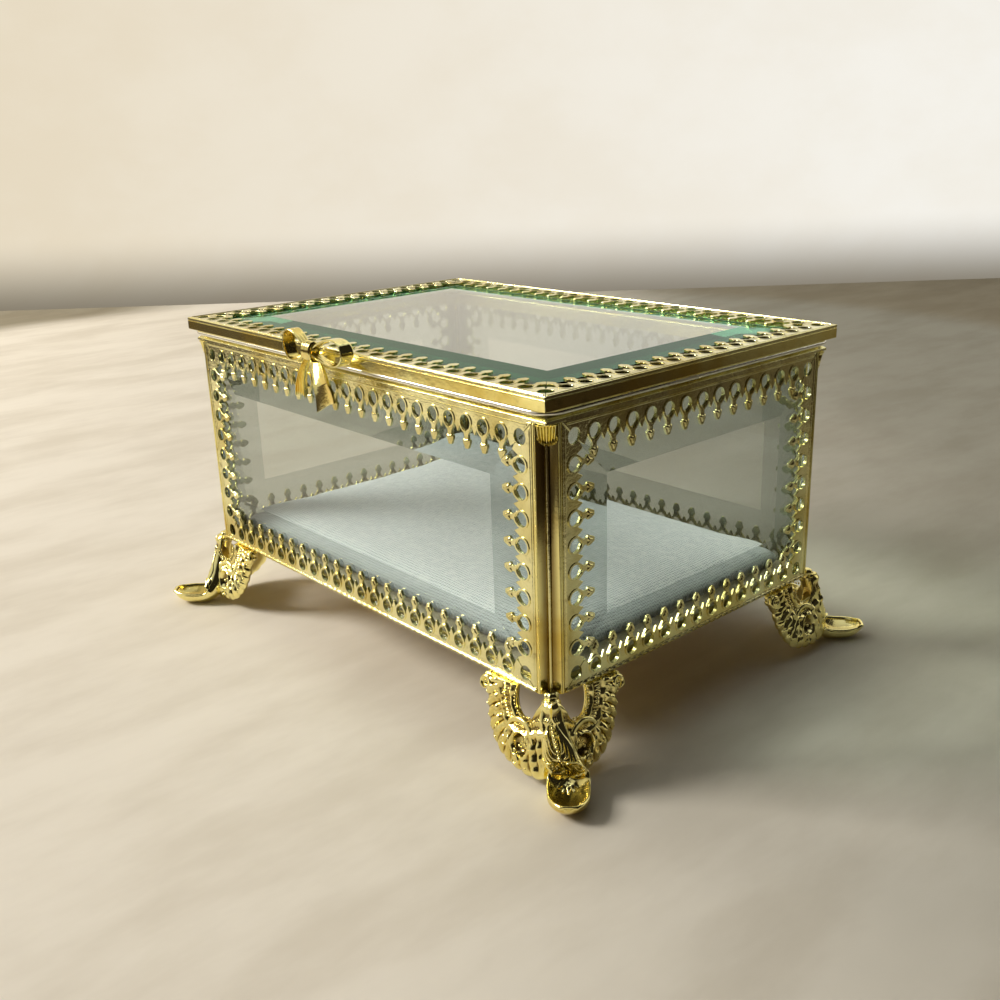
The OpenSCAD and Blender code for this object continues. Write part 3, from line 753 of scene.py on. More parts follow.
@dataclass(frozen=True)
class Linen:
    """Pale linen cloth with a plain weave, and painted shade low down towards its hem (heights in metres)."""

    name: str = "pale_linen"
    pitch: float = 0.8
    thread: Color = (0.60, 0.63, 0.645)
    gap: Color = (0.17, 0.19, 0.21)
    fleck: Color = (0.70, 0.71, 0.70)
    # Heights between which the painted shade fades out going up.
    hem: tuple[float, float] = (0.0232, 0.0269)

    def build(self, groups: dict[str, bpy.types.NodeTree]) -> bpy.types.Material:
        """Makes the material from the weave group."""
        m = bpy.data.materials.new(self.name)
        m.use_nodes = True
        t = Tree(m.node_tree)
        g = t.add(
            "Group",
            {"node_tree": groups["weave"]},
            Pitch=self.pitch,
            Thread=(*self.thread, 1),
            Gap=(*self.gap, 1),
            Fleck=(*self.fleck, 1),
        ).outputs
        bump = t.add("Bump", Height=g["Height"], Strength=0.7, Distance=0.0002)
        rough = t.remap(g["Mask"], 0, 1, 0.82, 0.95)
        axis = t.add("SeparateXYZ", Vector=t.add("TexCoord").outputs["Object"]).outputs
        # Painted shade: below the hem span the cloth is darkened almost to black.
        shade = t.blend(t.remap(axis["Z"], *self.hem), (0.06, 0.065, 0.06), (1, 1, 1))
        p = t.add(
            "BsdfPrincipled",
            Base_Color=t.blend(1.0, g["Color"], shade, "MULTIPLY"),
            Roughness=rough,
            Sheen_Weight=0.25,
            Normal=bump.outputs[0],
        )
        t.add("OutputMaterial", Surface=p.outputs[0])
        return m


@dataclass(frozen=True)
class Matt:
    """Matt fibrous surface: pressed board."""

    name: str
    light: Color
    dark: Color
    scale: float = 100.0
    bump: float = 0.2
    roughness: float = 0.9

    def build(self, groups: dict[str, bpy.types.NodeTree]) -> bpy.types.Material:
        """Makes the material from the fibre group."""
        m = bpy.data.materials.new(self.name)
        m.use_nodes = True
        t = Tree(m.node_tree)
        g = t.add(
            "Group",
            {"node_tree": groups["fibres"]},
            Light=(*self.light, 1),
            Dark=(*self.dark, 1),
            Scale=self.scale,
        ).outputs
        bump = t.add("Bump", Height=g["Height"], Strength=self.bump, Distance=0.0002)
        p = t.add(
            "BsdfPrincipled",
            Base_Color=g["Color"],
            Roughness=self.roughness,
            Normal=bump.outputs[0],
        )
        t.add("OutputMaterial", Surface=p.outputs[0])
        return m


@dataclass(frozen=True)
class Backdrop:
    """Pale wall behind, shown at its own tone to the camera, in metal and through glass; also the floor, without that
    glow. Both carry painted light and shade.
    """

    name: str
    left: Color
    right: Color
    low: Color
    strength: float = 1.0
    span: tuple[float, float] = (-0.45, 0.5)
    # Distances from a middle point past which the floor falls to painted shade.
    shade_radii: tuple[float, float] | None = None
    veins: float = 0.97
    drift: float = 0.05
    grain: float = 11.0

    def build(self, groups: dict[str, bpy.types.NodeTree]) -> bpy.types.Material:
        """Makes the material: two tones across, a third low down or far out, cloudy in between.

        On the floor the two tones across are painted light: bright on the lamp's side, painted shade to the right. The
        floor's second span gives the distances from a middle between which it falls to painted shade. Like the shade
        far out towards the front, this is darkest at the front and comes up to the low tone at the back. On the wall
        the low tone is painted shade along its foot.
        """
        m = bpy.data.materials.new(self.name)
        m.use_nodes = True
        t = Tree(m.node_tree)
        place = t.add("TexCoord").outputs["Object"]
        axis = t.add("SeparateXYZ", Vector=place).outputs
        across = t.add(
            "VectorMath", {"operation": "DOT_PRODUCT"}, i0=place, i1=(0.658, 0.753, 0.0)
        ).outputs["Value"]
        drift = t.math("MULTIPLY", t.noise(place, 5.0, 5, 0.6), self.drift)
        # On the floor the two tones are painted light: bright on the lamp's side, painted shade to the right.
        tone = t.blend(t.remap(t.math("ADD", across, drift), *self.span), self.left, self.right)
        # Floor only: painted shade past a span of distances from a middle point and far out towards the front.
        if self.shade_radii:
            off = t.add("Mapping", Vector=place, Location=(0.202, -0.096, 0.0)).outputs[0]
            far = t.add("VectorMath", {"operation": "LENGTH"}, i0=off).outputs["Value"]
            back = t.add(
                "VectorMath", {"operation": "DOT_PRODUCT"}, i0=place, i1=(-0.35, 0.8, 0.0)
            ).outputs["Value"]
            # The painted shade is darkest at the front and comes up to the low tone at the back.
            dim = t.blend(t.remap(back, 0.06, 0.3), (0.03, 0.018, 0.008), self.low)
            near = t.add(
                "VectorMath", {"operation": "DOT_PRODUCT"}, i0=place, i1=(-0.55, -0.83, 0.0)
            ).outputs["Value"]
            edge = t.math("MAXIMUM", t.remap(far, *self.shade_radii), t.remap(near, 0.335, 0.395))
            tone = t.blend(edge, tone, dim)
        else:
            # Painted shade: the wall is darkened to the low tone along its foot.
            tone = t.blend(t.remap(axis["Z"], -0.01, 0.055), self.low, tone)
        v = self.veins
        mist = t.add(
            "Group",
            {"node_tree": groups["fibres"]},
            Light=(1.0, 1.0, 1.0, 1),
            Dark=(v, v - 0.015, v - 0.04, 1),
            Scale=self.grain,
        ).outputs
        color = t.blend(1.0, tone, mist["Color"], "MULTIPLY")
        p = t.add("BsdfPrincipled", Base_Color=color, Roughness=0.9, Specular_IOR_Level=0.1)
        if not self.strength:
            t.add("OutputMaterial", Surface=p.outputs[0])
            return m
        glow = t.add("Emission", Color=color, Strength=self.strength)
        ray = t.add("LightPath").outputs
        seen = t.math("MAXIMUM", ray["Is Camera Ray"], ray["Is Glossy Ray"])
        seen = t.math("MAXIMUM", seen, ray["Is Transmission Ray"])
        mix = t.add("MixShader", i0=seen, i1=p.outputs[0], i2=glow.outputs[0])
        t.add("OutputMaterial", Surface=mix.outputs[0])
        return m


class Palette:
    """All finishes of the casket, built once."""

    def __init__(self) -> None:
        """Builds the node groups and then each finish from its values."""
        groups = {
            "gilding": gilding_group(),
            "weave": weave_group(),
            "fibres": fibre_group(),
        }
        # The first colour is real stains; the second is the painted shade in every gilding's hollows.
        stain, cove = (0.12, 0.07, 0.015), (0.12, 0.055, 0.01)

        def gilt(name: str, bright: Color, deep: Color, *rest: float) -> bpy.types.Material:
            """Builds one gilding: its tones, then roughness, wear and bump."""
            return Gilding(name, bright, deep, stain, cove, *rest).build(groups)

        self.rail = gilt("rail_gilding", (0.98, 0.90, 0.38), (0.80, 0.61, 0.14), 0.08, 0.3, 0.006)
        self.gallery = gilt(
            "gallery_gilding", (0.94, 0.89, 0.48), (0.70, 0.59, 0.21), 0.15, 0.45, 0.035
        )
        self.cast = gilt("cast_gilding", (1.0, 0.91, 0.40), (0.82, 0.64, 0.17), 0.08, 0.35, 0.025)
        self.lip = gilt("lip_gilding", (0.88, 0.86, 0.76), (0.76, 0.72, 0.6), 0.2, 0.3)
        self.pin = gilt("pin_brass", (0.78, 0.58, 0.22), (0.62, 0.44, 0.14), 0.3, 0.6)
        self.plate = gilt("plate_brass", (0.74, 0.56, 0.20), (0.6, 0.42, 0.14), 0.34, 0.7)
        self.pane = ClearGlass("side_glass", (0.76, 0.79, 0.76)).build(groups)
        # The bevels' darker tints are partly the glass's own green and partly painted shade for the dark that the
        # bevels refract.
        self.pane_bevel = ClearGlass("side_bevel", (0.38, 0.43, 0.40)).build(groups)
        self.lid_pane = ClearGlass("lid_glass_clear", (0.86, 0.91, 0.87)).build(groups)
        self.lid_bevel = ClearGlass(
            "lid_bevel_glass", (0.66, 0.82, 0.74), (0.07, 0.46, 0.22), clear=0.82, ior=1.2
        ).build(groups)
        self.linen = Linen().build(groups)
        self.board = Matt("pressed_board", (0.5, 0.42, 0.3), (0.4, 0.33, 0.22)).build(groups)
        # Floor: painted light that falls off from left to right, and painted shade past a span of distances from a
        # middle point.
        self.floor = Backdrop(
            "table_top", (0.765, 0.71, 0.605), (0.36, 0.345, 0.28), (0.30, 0.265, 0.19), 0.0,
            (0.03, 0.28), (0.39, 0.44), 0.86, 0.16, 34.0,
        ).build(groups)
        # Wall: two pale tones, glowing at its own tone for the camera, with painted shade along its foot.
        self.wall = Backdrop(
            "wall_paint", (0.82, 0.73, 0.57), (0.92, 0.90, 0.84), (0.20, 0.175, 0.13)
        ).build(groups)


# ---- Pierced gallery strips ----------------------------------------------------------------


@dataclass
class Gallery:
    """Relief on the pierced strips: hole rims, lobed prong heads and a line along the edge."""

    sizes: Sizes
    finish: bpy.types.Material
    rim_r: float = 0.26
    rim_rise: float = 0.1
    lobe_r: float = 0.8
    lobe_h: float = 0.34
    line_r: float = 0.22

    def centres(self, length: float) -> tuple[Array, float]:
        """Places of the holes along a strip and their pitch, as the strip's pattern has them."""
        s = self.sizes
        first = s.strip_band + s.hole_r + 0.15
        spaces = round((length - 2 * first) / s.prong_pitch)
        pitch = (length - 2 * first) / spaces
        return np.arange(spaces + 1) * pitch - length / 2 + first, pitch

    def relief(
        self, skin: Skin, length: float, place: Callable[[Array], Array], rise: float = 1
    ) -> None:
        """Adds one strip's relief.

        Args:
            skin: The skin that it goes into.
            length: The strip's length.
            place: Carries (along, inwards from the plain edge, out of the face) to the part.
            rise: How high it stands, as a share of the usual height.
        """
        s = self.sizes
        mid, _ = self.centres(length)
        inner = mid[1:-1]
        hole_y = s.strip_band + s.hole_r
        head_y = hole_y + s.hole_point + s.arm_w + 0.15 + 0.8
        a, b = ring(16)[:, None], ring(4)[None] + TAU / 8
        reach = s.hole_r + 0.22 + 0.42 * np.clip(np.sin(a), 0, 1) ** 5
        around = reach + self.rim_r * np.cos(b)
        rim = np.stack(
            [
                around * np.cos(a),
                around * np.sin(a),
                rise * (self.rim_rise * 0.4 + 0.75 * self.rim_r * np.sin(b)) + 0 * a,
            ],
            -1,
        )
        lobe = dome(self.lobe_r, self.lobe_h * rise, 0.36, 18)
        origin = np.zeros((len(inner), 3))
        origin[:, 0] = inner
        origin[:, 1] = hole_y
        ends = place(np.array([[0, 0, 0], [1, 0, 0], [0, 1, 0], [0, 0, 1.0]]))
        axes = (ends[1:] - ends[:1])[None].repeat(len(inner), 0)
        skin.scatter(rim, place(origin), axes, joined=True)
        origin[:, 1] = head_y + 0.62
        origin[:, 2] = -0.06
        skin.scatter(lobe, place(origin), axes)
        half = length / 2 - 1.2
        c = ring(8)
        along = np.linspace(-half, half, 2)
        line = np.stack(
            [
                along[:, None] + 0 * c,
                0.62 + self.line_r * np.cos(c) + 0 * along[:, None],
                0.7 * self.line_r * np.sin(c) + 0 * along[:, None],
            ],
            -1,
        )
        skin.loft(place(line.reshape(-1, 3)).reshape(line.shape))

    def strips(self) -> dict[str, tuple[float, Callable[[Array], Array]]]:
        """Length and placing of each of the body's strips, by the name of its relief."""
        s = self.sizes
        gap = s.post_w + s.seat_gap
        found: dict[str, tuple[float, Callable[[Array], Array]]] = {}

        def level(i: int, z: float, up: int) -> Callable[[Array], Array]:
            """Placing of a strip along side i at height z."""
            return lambda p: s.side(
                np.stack([p[..., 0], -p[..., 2], z + up * p[..., 1]], -1), i
            )

        def upright(i: int, end: int) -> Callable[[Array], Array]:
            """Placing of a strip beside the post at one end of side i."""
            edge, mid = s.run(i) / 2 - gap, s.foot_h + s.body_h / 2
            return lambda p: s.side(
                np.stack([end * (edge - p[..., 1]), -p[..., 2], mid + p[..., 0]], -1), i
            )

        for i, name in enumerate(SIDES):
            panel = s.run(i) - 2 * gap
            found[f"{name}_top_relief"] = (panel, level(i, s.z_post, -1))
            found[f"{name}_bottom_relief"] = (panel, level(i, s.foot_h, 1))
            found[f"{name}_low_relief"] = (s.body_h, upright(i, -1))
            found[f"{name}_high_relief"] = (s.body_h, upright(i, 1))
        return found

    def build(self) -> None:
        """Builds the body's strips and the lid's."""
        s = self.sizes
        for name, (length, place) in self.strips().items():
            skin = Skin()
            self.relief(skin, length, place)
            dress(skin.build(name), Body.CASKET, self.finish)
        top = s.z_strip + s.seat_gap + s.strip_t
        for i, name in enumerate(SIDES):
            skin = Skin()
            self.relief(
                skin,
                s.run(i, True),
                lambda p, i=i: s.side(
                    np.stack([p[..., 0], p[..., 1], top + p[..., 2]], -1), i, True
                ),
                0.3,
            )
            dress(skin.build(f"lid_{name}_relief"), Body.LID, self.finish)
        posts = ("front_right", "front_left", "right_back", "right_front")
        posts += ("back_left", "back_right", "left_front", "left_back")
        for name in posts:
            piece = rounded_copy(f"{name}_strip", 0.14)
            dress(piece, Body.CASKET, self.finish)
        for name in SIDES:
            piece = rounded_copy(f"lid_{name}_strip", 0.14)
            dress(piece, Body.LID, self.finish)


# ---- Frame of the body ---------------------------------------------------------------------


@dataclass
class BodyFrame:
    """Posts, rails, panes, base and hinge leaves of the casket."""

    sizes: Sizes
    palette: Palette
    rope_r: float = 0.55
    rope_pitch: float = 2.1

    def rope(self, i: int) -> Skin:
        """Twisted bead along the fold of side i's bottom rail.

        The radius round the rope is r (1 + 0.2 cos(3 a - 2 pi s / pitch)): three strands that
        turn with the way s along it.
        """
        s = self.sizes
        half = s.run(i) / 2 - s.post_w - s.seat_gap - 0.1
        n = int(2 * half / self.rope_pitch * 8)
        along = np.linspace(-half, half, n)[:, None]
        a = ring(12)[None]
        r = self.rope_r * (0.82 + 0.2 * np.cos(3 * a - TAU * along / self.rope_pitch))
        rows = np.stack(
            [along + 0 * a, 0.12 - r * np.cos(a), s.foot_h + 0.42 + r * np.sin(a)], -1
        )
        skin = Skin()
        skin.loft(s.side(rows.reshape(-1, 3), i).reshape(rows.shape))
        return skin

    def shade_groove(self, post: bpy.types.Object, sx: int, sy: int) -> None:
        """Marks a post's relief for painted shade: the deeper a point lies in the groove, the higher it is and the
        darker the gilding paints it.
        """
        at = np.empty(len(post.data.vertices) * 3)
        post.data.vertices.foreach_get("co", at)
        at = np.abs(at.reshape(-1, 3) / MM)
        s = self.sizes
        deep = np.minimum(s.body_l / 2 - at[:, 0], s.body_w / 2 - at[:, 1])
        inside = np.maximum(s.body_l / 2 - at[:, 0], s.body_w / 2 - at[:, 1]) < s.post_w - 0.5
        write_relief(post, np.where(inside, np.clip(deep / 0.7, 0, 1), 0))

    def leaf(self, sx: int, sy: int) -> Skin:
        """Fluted leaf in the top of a post's groove.

        A point lies at width w and height t on the groove's two walls, pushed out along the
        diagonal by a bulge (0.5 + 1.2 t)(1 - w^2) + 0.3 and by ribs cos(7 pi w). Its lower edge
        is scalloped, rolled out and lowest in the middle.
        """
        s = self.sizes
        w = np.linspace(-1, 1, 71)[None]
        t = np.linspace(0, 1, 35)[:, None]
        wide = 0.66 + 0.3 * t**0.5
        low, high = -s.groove_d + 0.045, s.post_band - s.post_w + 0.045
        q = np.abs(w) * wide
        near, away = low + (0.045 - low) * q, low + (high - low) * q
        x, y = np.where(w < 0, near, away), np.where(w < 0, away, near)
        ribs = 0.24 * np.cos(7 * math.pi * w)
        roll = 0.3 * np.exp(-((t / 0.09) ** 2)) + 0.25 * np.clip((t - 0.88) / 0.12, 0, 1) ** 0.5
        out = 0.7 * ((0.5 + 1.2 * t) * (1 - w**2) + 0.3 + ribs + roll)
        scallop = 0.35 * (1 - np.cos(7 * math.pi * w)) / 2 + 1.3 * w**2
        z = s.z_post - s.seat_gap - s.cap_h * (1 - t) + scallop * (1 - t) ** 3
        back = np.stack([x + 0 * z, y + 0 * z, z], -1)
        front = np.stack([x + out, y + out, z], -1)
        skin = Skin()
        skin.sheet(
            s.corner(front.reshape(-1, 3), sx, sy).reshape(front.shape),
            s.corner(back.reshape(-1, 3), sx, sy).reshape(back.shape),
        )
        return skin

    def seam(self, sx: int, sy: int) -> Skin:
        """Round bead down the bottom of a post's groove, where its two walls meet."""
        s = self.sizes
        a = ring(12)[None]
        r = np.array([0.12, 0.3, 0.34, 0.34, 0.3, 0.12])[:, None]
        z = s.foot_h + np.array([0.1, 0.3, 0.8, 0.0, 0.3, 0.4])[:, None]
        z[3:] += s.body_h - s.cap_h - 0.6
        mid = -s.groove_d + 0.22
        rows = np.stack([mid + r * np.cos(a), mid + r * np.sin(a), z + 0 * a], -1)
        skin = Skin()
        skin.loft(s.corner(rows.reshape(-1, 3), sx, sy).reshape(rows.shape))
        return skin

    def build(self) -> None:
        """Builds and dresses every piece of the body except pad, feet and strips."""
        p = self.palette
        for name in SIDES:
            for rail in ("top_rail", "bottom_rail"):
                piece = rounded_copy(f"{name}_{rail}", 0.13)
                dress(piece, Body.CASKET, p.gallery)
        for i, name in enumerate(SIDES):
            piece = rounded_copy(f"{name}_pane", 0.12, flat=True)
            dress(piece, Body.CASKET, p.pane)
            second_finish(piece, p.pane_bevel, 1 - i % 2)
            dress(self.rope(i).build(f"{name}_rope"), Body.CASKET, p.gallery)
        for name, (sx, sy) in CORNERS.items():
            piece = rounded_copy(f"post_{name}", 0.12)
            dress(piece, Body.CASKET, p.rail)
            # Painted shade deeper in the post's groove.
            self.shade_groove(piece, sx, sy)
            dress(self.seam(sx, sy).build(f"post_{name}_seam"), Body.CASKET, p.gallery)
            leaf = self.leaf(sx, sy).build(f"cap_{name}_leaf")
            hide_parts(f"cap_{name}")
            dress(leaf, Body.CASKET, p.cast)
            # Relief for the gilding's painted shade in the leaf's hollows.
            mark_relief(leaf, 6, 0.08)
        dress(rounded_copy("base_plate", 0.15), Body.CASKET, p.plate)
        dress(frame["nodes"]["base_board"], Body.CASKET, p.board)
        for end in ("left", "right"):
            leaf = rounded_copy(f"hinge_leaf_body_{end}", 0.12)
            dress(leaf, Body.CASKET, p.rail)
            pin = rounded_copy(f"hinge_pin_{end}", 0.1)
            dress(pin, Body.CASKET, p.pin)


# ---- Pad -----------------------------------------------------------------------------------


@dataclass
class Pad:
    """Linen pad on the base: a thin cushion, blown up as cloth and laid flat underneath."""

    finish: bpy.types.Material
    grow: float = 10
    voxel: float = 0.011
    pressure: float = 3.0
    steps: int = 20
    cap: float = 0.9

    def build(self) -> None:
        """Builds the pad from its solid.

        The solid is copied at ten times its size, so that the cloth solver works at the
        scale it suits, remeshed, blown up from a slightly smaller start and brought back.
        """
        node = frame["nodes"]["base_pad"]
        low, high = (np.array(v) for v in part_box("base_pad"))
        mesh = node.data.copy()
        mesh.name = "linen_pad"
        tidy(mesh, merge=1e-6)
        pad = bpy.data.objects.new("linen_pad", mesh)
        bpy.context.scene.collection.objects.link(pad)
        centre = (low + high) / 2
        size = high - low
        here = np.empty(len(mesh.vertices) * 3)
        mesh.vertices.foreach_get("co", here)
        start = (here.reshape(-1, 3) - centre) * self.grow * np.array([0.992, 0.992, 0.94])
        mesh.vertices.foreach_set("co", start.ravel())
        remesh = pad.modifiers.new("remesh", "REMESH")
        remesh.mode = "VOXEL"
        remesh.voxel_size = self.voxel
        self.apply(pad)
        rest = self.points(pad)
        cloth = pad.modifiers.new("cloth", "CLOTH")
        cloth.settings.use_pressure = True
        cloth.settings.uniform_pressure_force = self.pressure
        cloth.settings.effector_weights.gravity = 0
        cloth.settings.shrink_min = -0.03
        scene = bpy.context.scene
        for step in range(1, self.steps + 1):
            scene.frame_set(step)
        self.apply(pad)
        scene.frame_set(1)
        moved = self.points(pad)
        shift = moved - rest
        far = np.linalg.norm(shift, axis=1, keepdims=True)
        most = self.cap * MM * self.grow
        shift *= np.minimum(1, most / np.maximum(far, 1e-9))
        final = (rest + shift) / self.grow
        half = size / 2
        final[:, :2] = np.clip(final[:, :2], -half[:2], half[:2])
        final[:, 2] = np.clip(final[:, 2], -half[2], half[2] + 0.0004)
        pad.data.vertices.foreach_set("co", (final + centre).ravel())
        pad.data.update()
        smooth = pad.modifiers.new("smooth", "SUBSURF")
        smooth.levels = smooth.render_levels = 1
        self.apply(pad)
        pad.data.shade_smooth()
        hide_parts("base_pad")
        dress(pad, Body.CASKET, self.finish)

    @staticmethod
    def apply(piece: bpy.types.Object) -> None:
        """Turns a piece's modifiers into its mesh."""
        view = bpy.context.evaluated_depsgraph_get()
        piece.data = bpy.data.meshes.new_from_object(piece.evaluated_get(view))
        piece.modifiers.clear()

    @staticmethod
    def points(piece: bpy.types.Object) -> Array:
        """A mesh's points as an array (n, 3)."""
        found = np.empty(len(piece.data.vertices) * 3)
        piece.data.vertices.foreach_get("co", found)
        return found.reshape(-1, 3)


# ---- Lid -----------------------------------------------------------------------------------


@dataclass
class Lid:
    """Rails, glass, lip and hinge leaves of the lid."""

    sizes: Sizes
    palette: Palette
    bulge: float = 0.62

    def lip(self) -> Skin:
        """Rounded lip under the lid.

        A ring runs round the rounded outline at depth d inwards, its corner radius falling with
        d, and the section's outer side is half an ellipse.
        """
        s = self.sizes
        l, w = s.body_l / 2 + s.lip_over, s.body_w / 2 + s.lip_over
        width = s.rail_d + s.lip_over
        a = np.linspace(-math.pi / 2, math.pi / 2, 13)
        depth = np.concatenate([self.bulge * (1 - np.cos(a)), [width, width]])
        height = np.concatenate([np.sin(a), [1, -1]]) * s.lip_h / 2 + s.lip_h / 2
        q = np.linspace(0, math.pi / 2, 13)
        cx, cy = np.repeat([1, -1, -1, 1], 13), np.repeat([1, 1, -1, -1], 13)
        turn = np.concatenate([q + k * math.pi / 2 for k in range(4)])
        r = s.lip_r - (s.lip_r - 1.5) * depth[:, None] / width
        x = cx * (l - depth[:, None] - r) + r * np.cos(turn)
        y = cy * (w - depth[:, None] - r) + r * np.sin(turn)
        z = s.z_lip + height[:, None] + 0 * x
        skin = Skin()
        skin.loft(np.stack([x, y, z], -1), joined=True)
        return skin

    def build(self) -> None:
        """Builds and dresses the lid's pieces."""
        p = self.palette
        for name in SIDES:
            rail = rounded_copy(f"lid_{name}_rail", 0.12)
            dress(rail, Body.LID, p.rail)
        glass = rounded_copy("lid_glass", 0.12, flat=True)
        dress(glass, Body.LID, p.lid_pane)
        second_finish(glass, p.lid_bevel, 2)
        lip = self.lip().build("lid_lip_moulding")
        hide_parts("lid_lip")
        dress(lip, Body.LID, p.lip)
        for end in ("left", "right"):
            leaf = rounded_copy(f"hinge_leaf_lid_{end}", 0.12)
            dress(leaf, Body.LID, p.rail)


# ---- Bow -----------------------------------------------------------------------------------


@dataclass
class Bow:
    """Ribbon bow on the lid's front: two loops, a wrapped knot and two tails."""

    sizes: Sizes
    finish: bpy.types.Material
    loops: tuple[tuple[float, float], tuple[float, float]] = ((8.9, 9.0), (13.4, 7.7))
    knot_x: float = -3.2
    ribbon_w: float = 3.4
    ribbon_t: float = 0.75
    knot: tuple[float, float, float] = (1.8, 1.7, 2.35)

    @property
    def knot_z(self) -> float:
        """Height of the knot's middle."""
        return self.sizes.z_lid + 2.8

    @property
    def face_y(self) -> float:
        """Place of the lid's face, less the gap before the bow."""
        return -self.sizes.lid_w / 2 - 2 * self.sizes.seat_gap

    def loop(self, side: int) -> Skin:
        """A loop of ribbon.

        Its middle line is a teardrop: along it x grows as (1 - cos t) / 2 and the height as
        sin t times a width that opens with x. The ribbon's section is a rounded bar that thins
        to its rims, with gathers that fade away from the knot.
        """
        t = np.linspace(0, TAU, 121)[:-1][:, None] * side
        c = ring(28)[None]
        length, height = self.loops[side > 0]

        def at(t: Array) -> tuple[Array, Array]:
            """Middle line of the ribbon."""
            q = (1 - np.cos(t)) / 2
            tall = height * (0.2 + 0.8 * q**0.7)
            x = self.knot_x + side * (self.knot[0] - 1.2 + length * q)
            return x, self.knot_z + 1.0 * q + 0.5 * tall * np.sin(t)

        x, z = at(t)
        e = 0.02 * side
        dx, dz = at(t + e)[0] - at(t - e)[0], at(t + e)[1] - at(t - e)[1]
        size = np.hypot(dx, dz) + 1e-9
        dx, dz = dx / size, dz / size
        q = (1 - np.cos(t)) / 2
        w = self.ribbon_w * (0.28 + 0.22 * q)
        across = np.cos(c)
        thick = np.sign(np.sin(c)) * np.abs(np.sin(c)) ** 0.6
        rim = 0.72 + 0.5 * np.abs(across) ** 4
        fold = 0.14 * (1 - q) ** 2 * np.cos(9 * across)
        h = self.ribbon_t / 2 * thick * rim * 0.8 + fold
        y = self.face_y - 2.75 - 0.25 * (1 - q) + across * w
        rows = np.stack([x - h * dz, y + 0 * h, z + h * dx], -1)
        skin = Skin()
        skin.loft(rows, joined=True)
        return skin

    def wrap(self) -> Skin:
        """The knot, a band wrapped round the ribbons: a bead along x with creases round it.

        Round it the section is an oval; along it the radius rises from both ends to a flat
        middle, less the creases as a cosine of the way along.
        """
        u = np.array([-1, -1.0, -0.94, -0.75, -0.4, 0, 0.4, 0.75, 0.94, 1.0, 1])
        r = np.array([0.3, 0.62, 0.86, 0.98, 1.0, 0.97, 1.0, 0.98, 0.86, 0.62, 0.3])
        path = smooth_path(np.stack([u, r], -1), 61)
        a = ring(40)[None]
        u, r = path[:, :1], path[:, 1:]
        r = r * (1 - 0.05 * (1 + np.cos(4 * math.pi * u)) * (r > 0.85))
        w, d, h = self.knot
        place = np.stack(
            [
                self.knot_x + w * u + 0.15 * np.sin(a),
                self.face_y - 3.1 + d * r * np.cos(a),
                self.knot_z + h * r * np.sin(a),
            ],
            -1,
        )
        skin = Skin()
        skin.loft(place)
        return skin

    def tail(self, left: bool) -> Skin:
        """A tail: t runs from its free end up to the knot and u across it from -1 to 1.

        The left tail is a fan with flutes as a cosine across it; the right one swings out, then
        hangs down, and is cut aslant. The way along is a parabola through both ends.
        """
        top = self.knot_z - self.knot[2]
        t = np.linspace(0, 1, 41)[:, None]
        u = np.linspace(-1, 1, 97)[None]
        ends = ((-8.2, 70.4, 2.0), (5.9, 69.7, 3.4))[not left]
        head = ((-4.6, top + 0.5, 0.8), (-1.0, top + 0.7, 1.9))[not left]
        bend = 4 * t * (1 - t)
        x, z, w = (e + t * (k - e) + 0 * u for e, k in zip(ends, head))
        out = self.face_y - 3.4 + 0.3 * t
        if left:
            flute = np.cos(5 * math.pi * u)
            z = z + (1 - t) * (0.25 * flute - 0.5 * u**2) + 0.3 * bend
            y = out - 0.5 * bend + (0.34 - 0.16 * t) * flute
            x = x - 0.3 * bend + u * w
        else:
            z = z + (1 - t) * (0.45 * u * w + 0.5 * (1 - np.abs(u))) + 0.5 * bend
            x = x + 1.6 * bend + u * w
            y = out - 2.2 * np.minimum((1 - t) / 0.55, 1) ** 0.8 - 0.5 * u**2 + 0.15 * u
        rim = 0.1 * np.abs(u) ** 8
        front = np.stack([x, y - rim + 0 * x, z], -1)
        thick = self.ribbon_t * (0.9 - 0.3 * u**4)
        rear = np.stack([x, y + thick + 0 * x, z], -1)
        skin = Skin()
        skin.sheet(front, rear)
        return skin

    def build(self) -> None:
        """Builds the five pieces in place of their solids."""
        made = {
            "bow_left_loop": self.loop(-1),
            "bow_right_loop": self.loop(1),
            "bow_knot": self.wrap(),
            "bow_left_tail": self.tail(True),
            "bow_right_tail": self.tail(False),
        }
        for node, skin in made.items():
            piece = skin.build(f"{node}_ribbon", sharp=50)
            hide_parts(node)
            dress(piece, Body.LID, self.finish)
            # Relief for the gilding's painted shade in the ribbon's hollows.
            mark_relief(piece, 10, 0.15)


# ---- Feet ----------------------------------------------------------------------------------


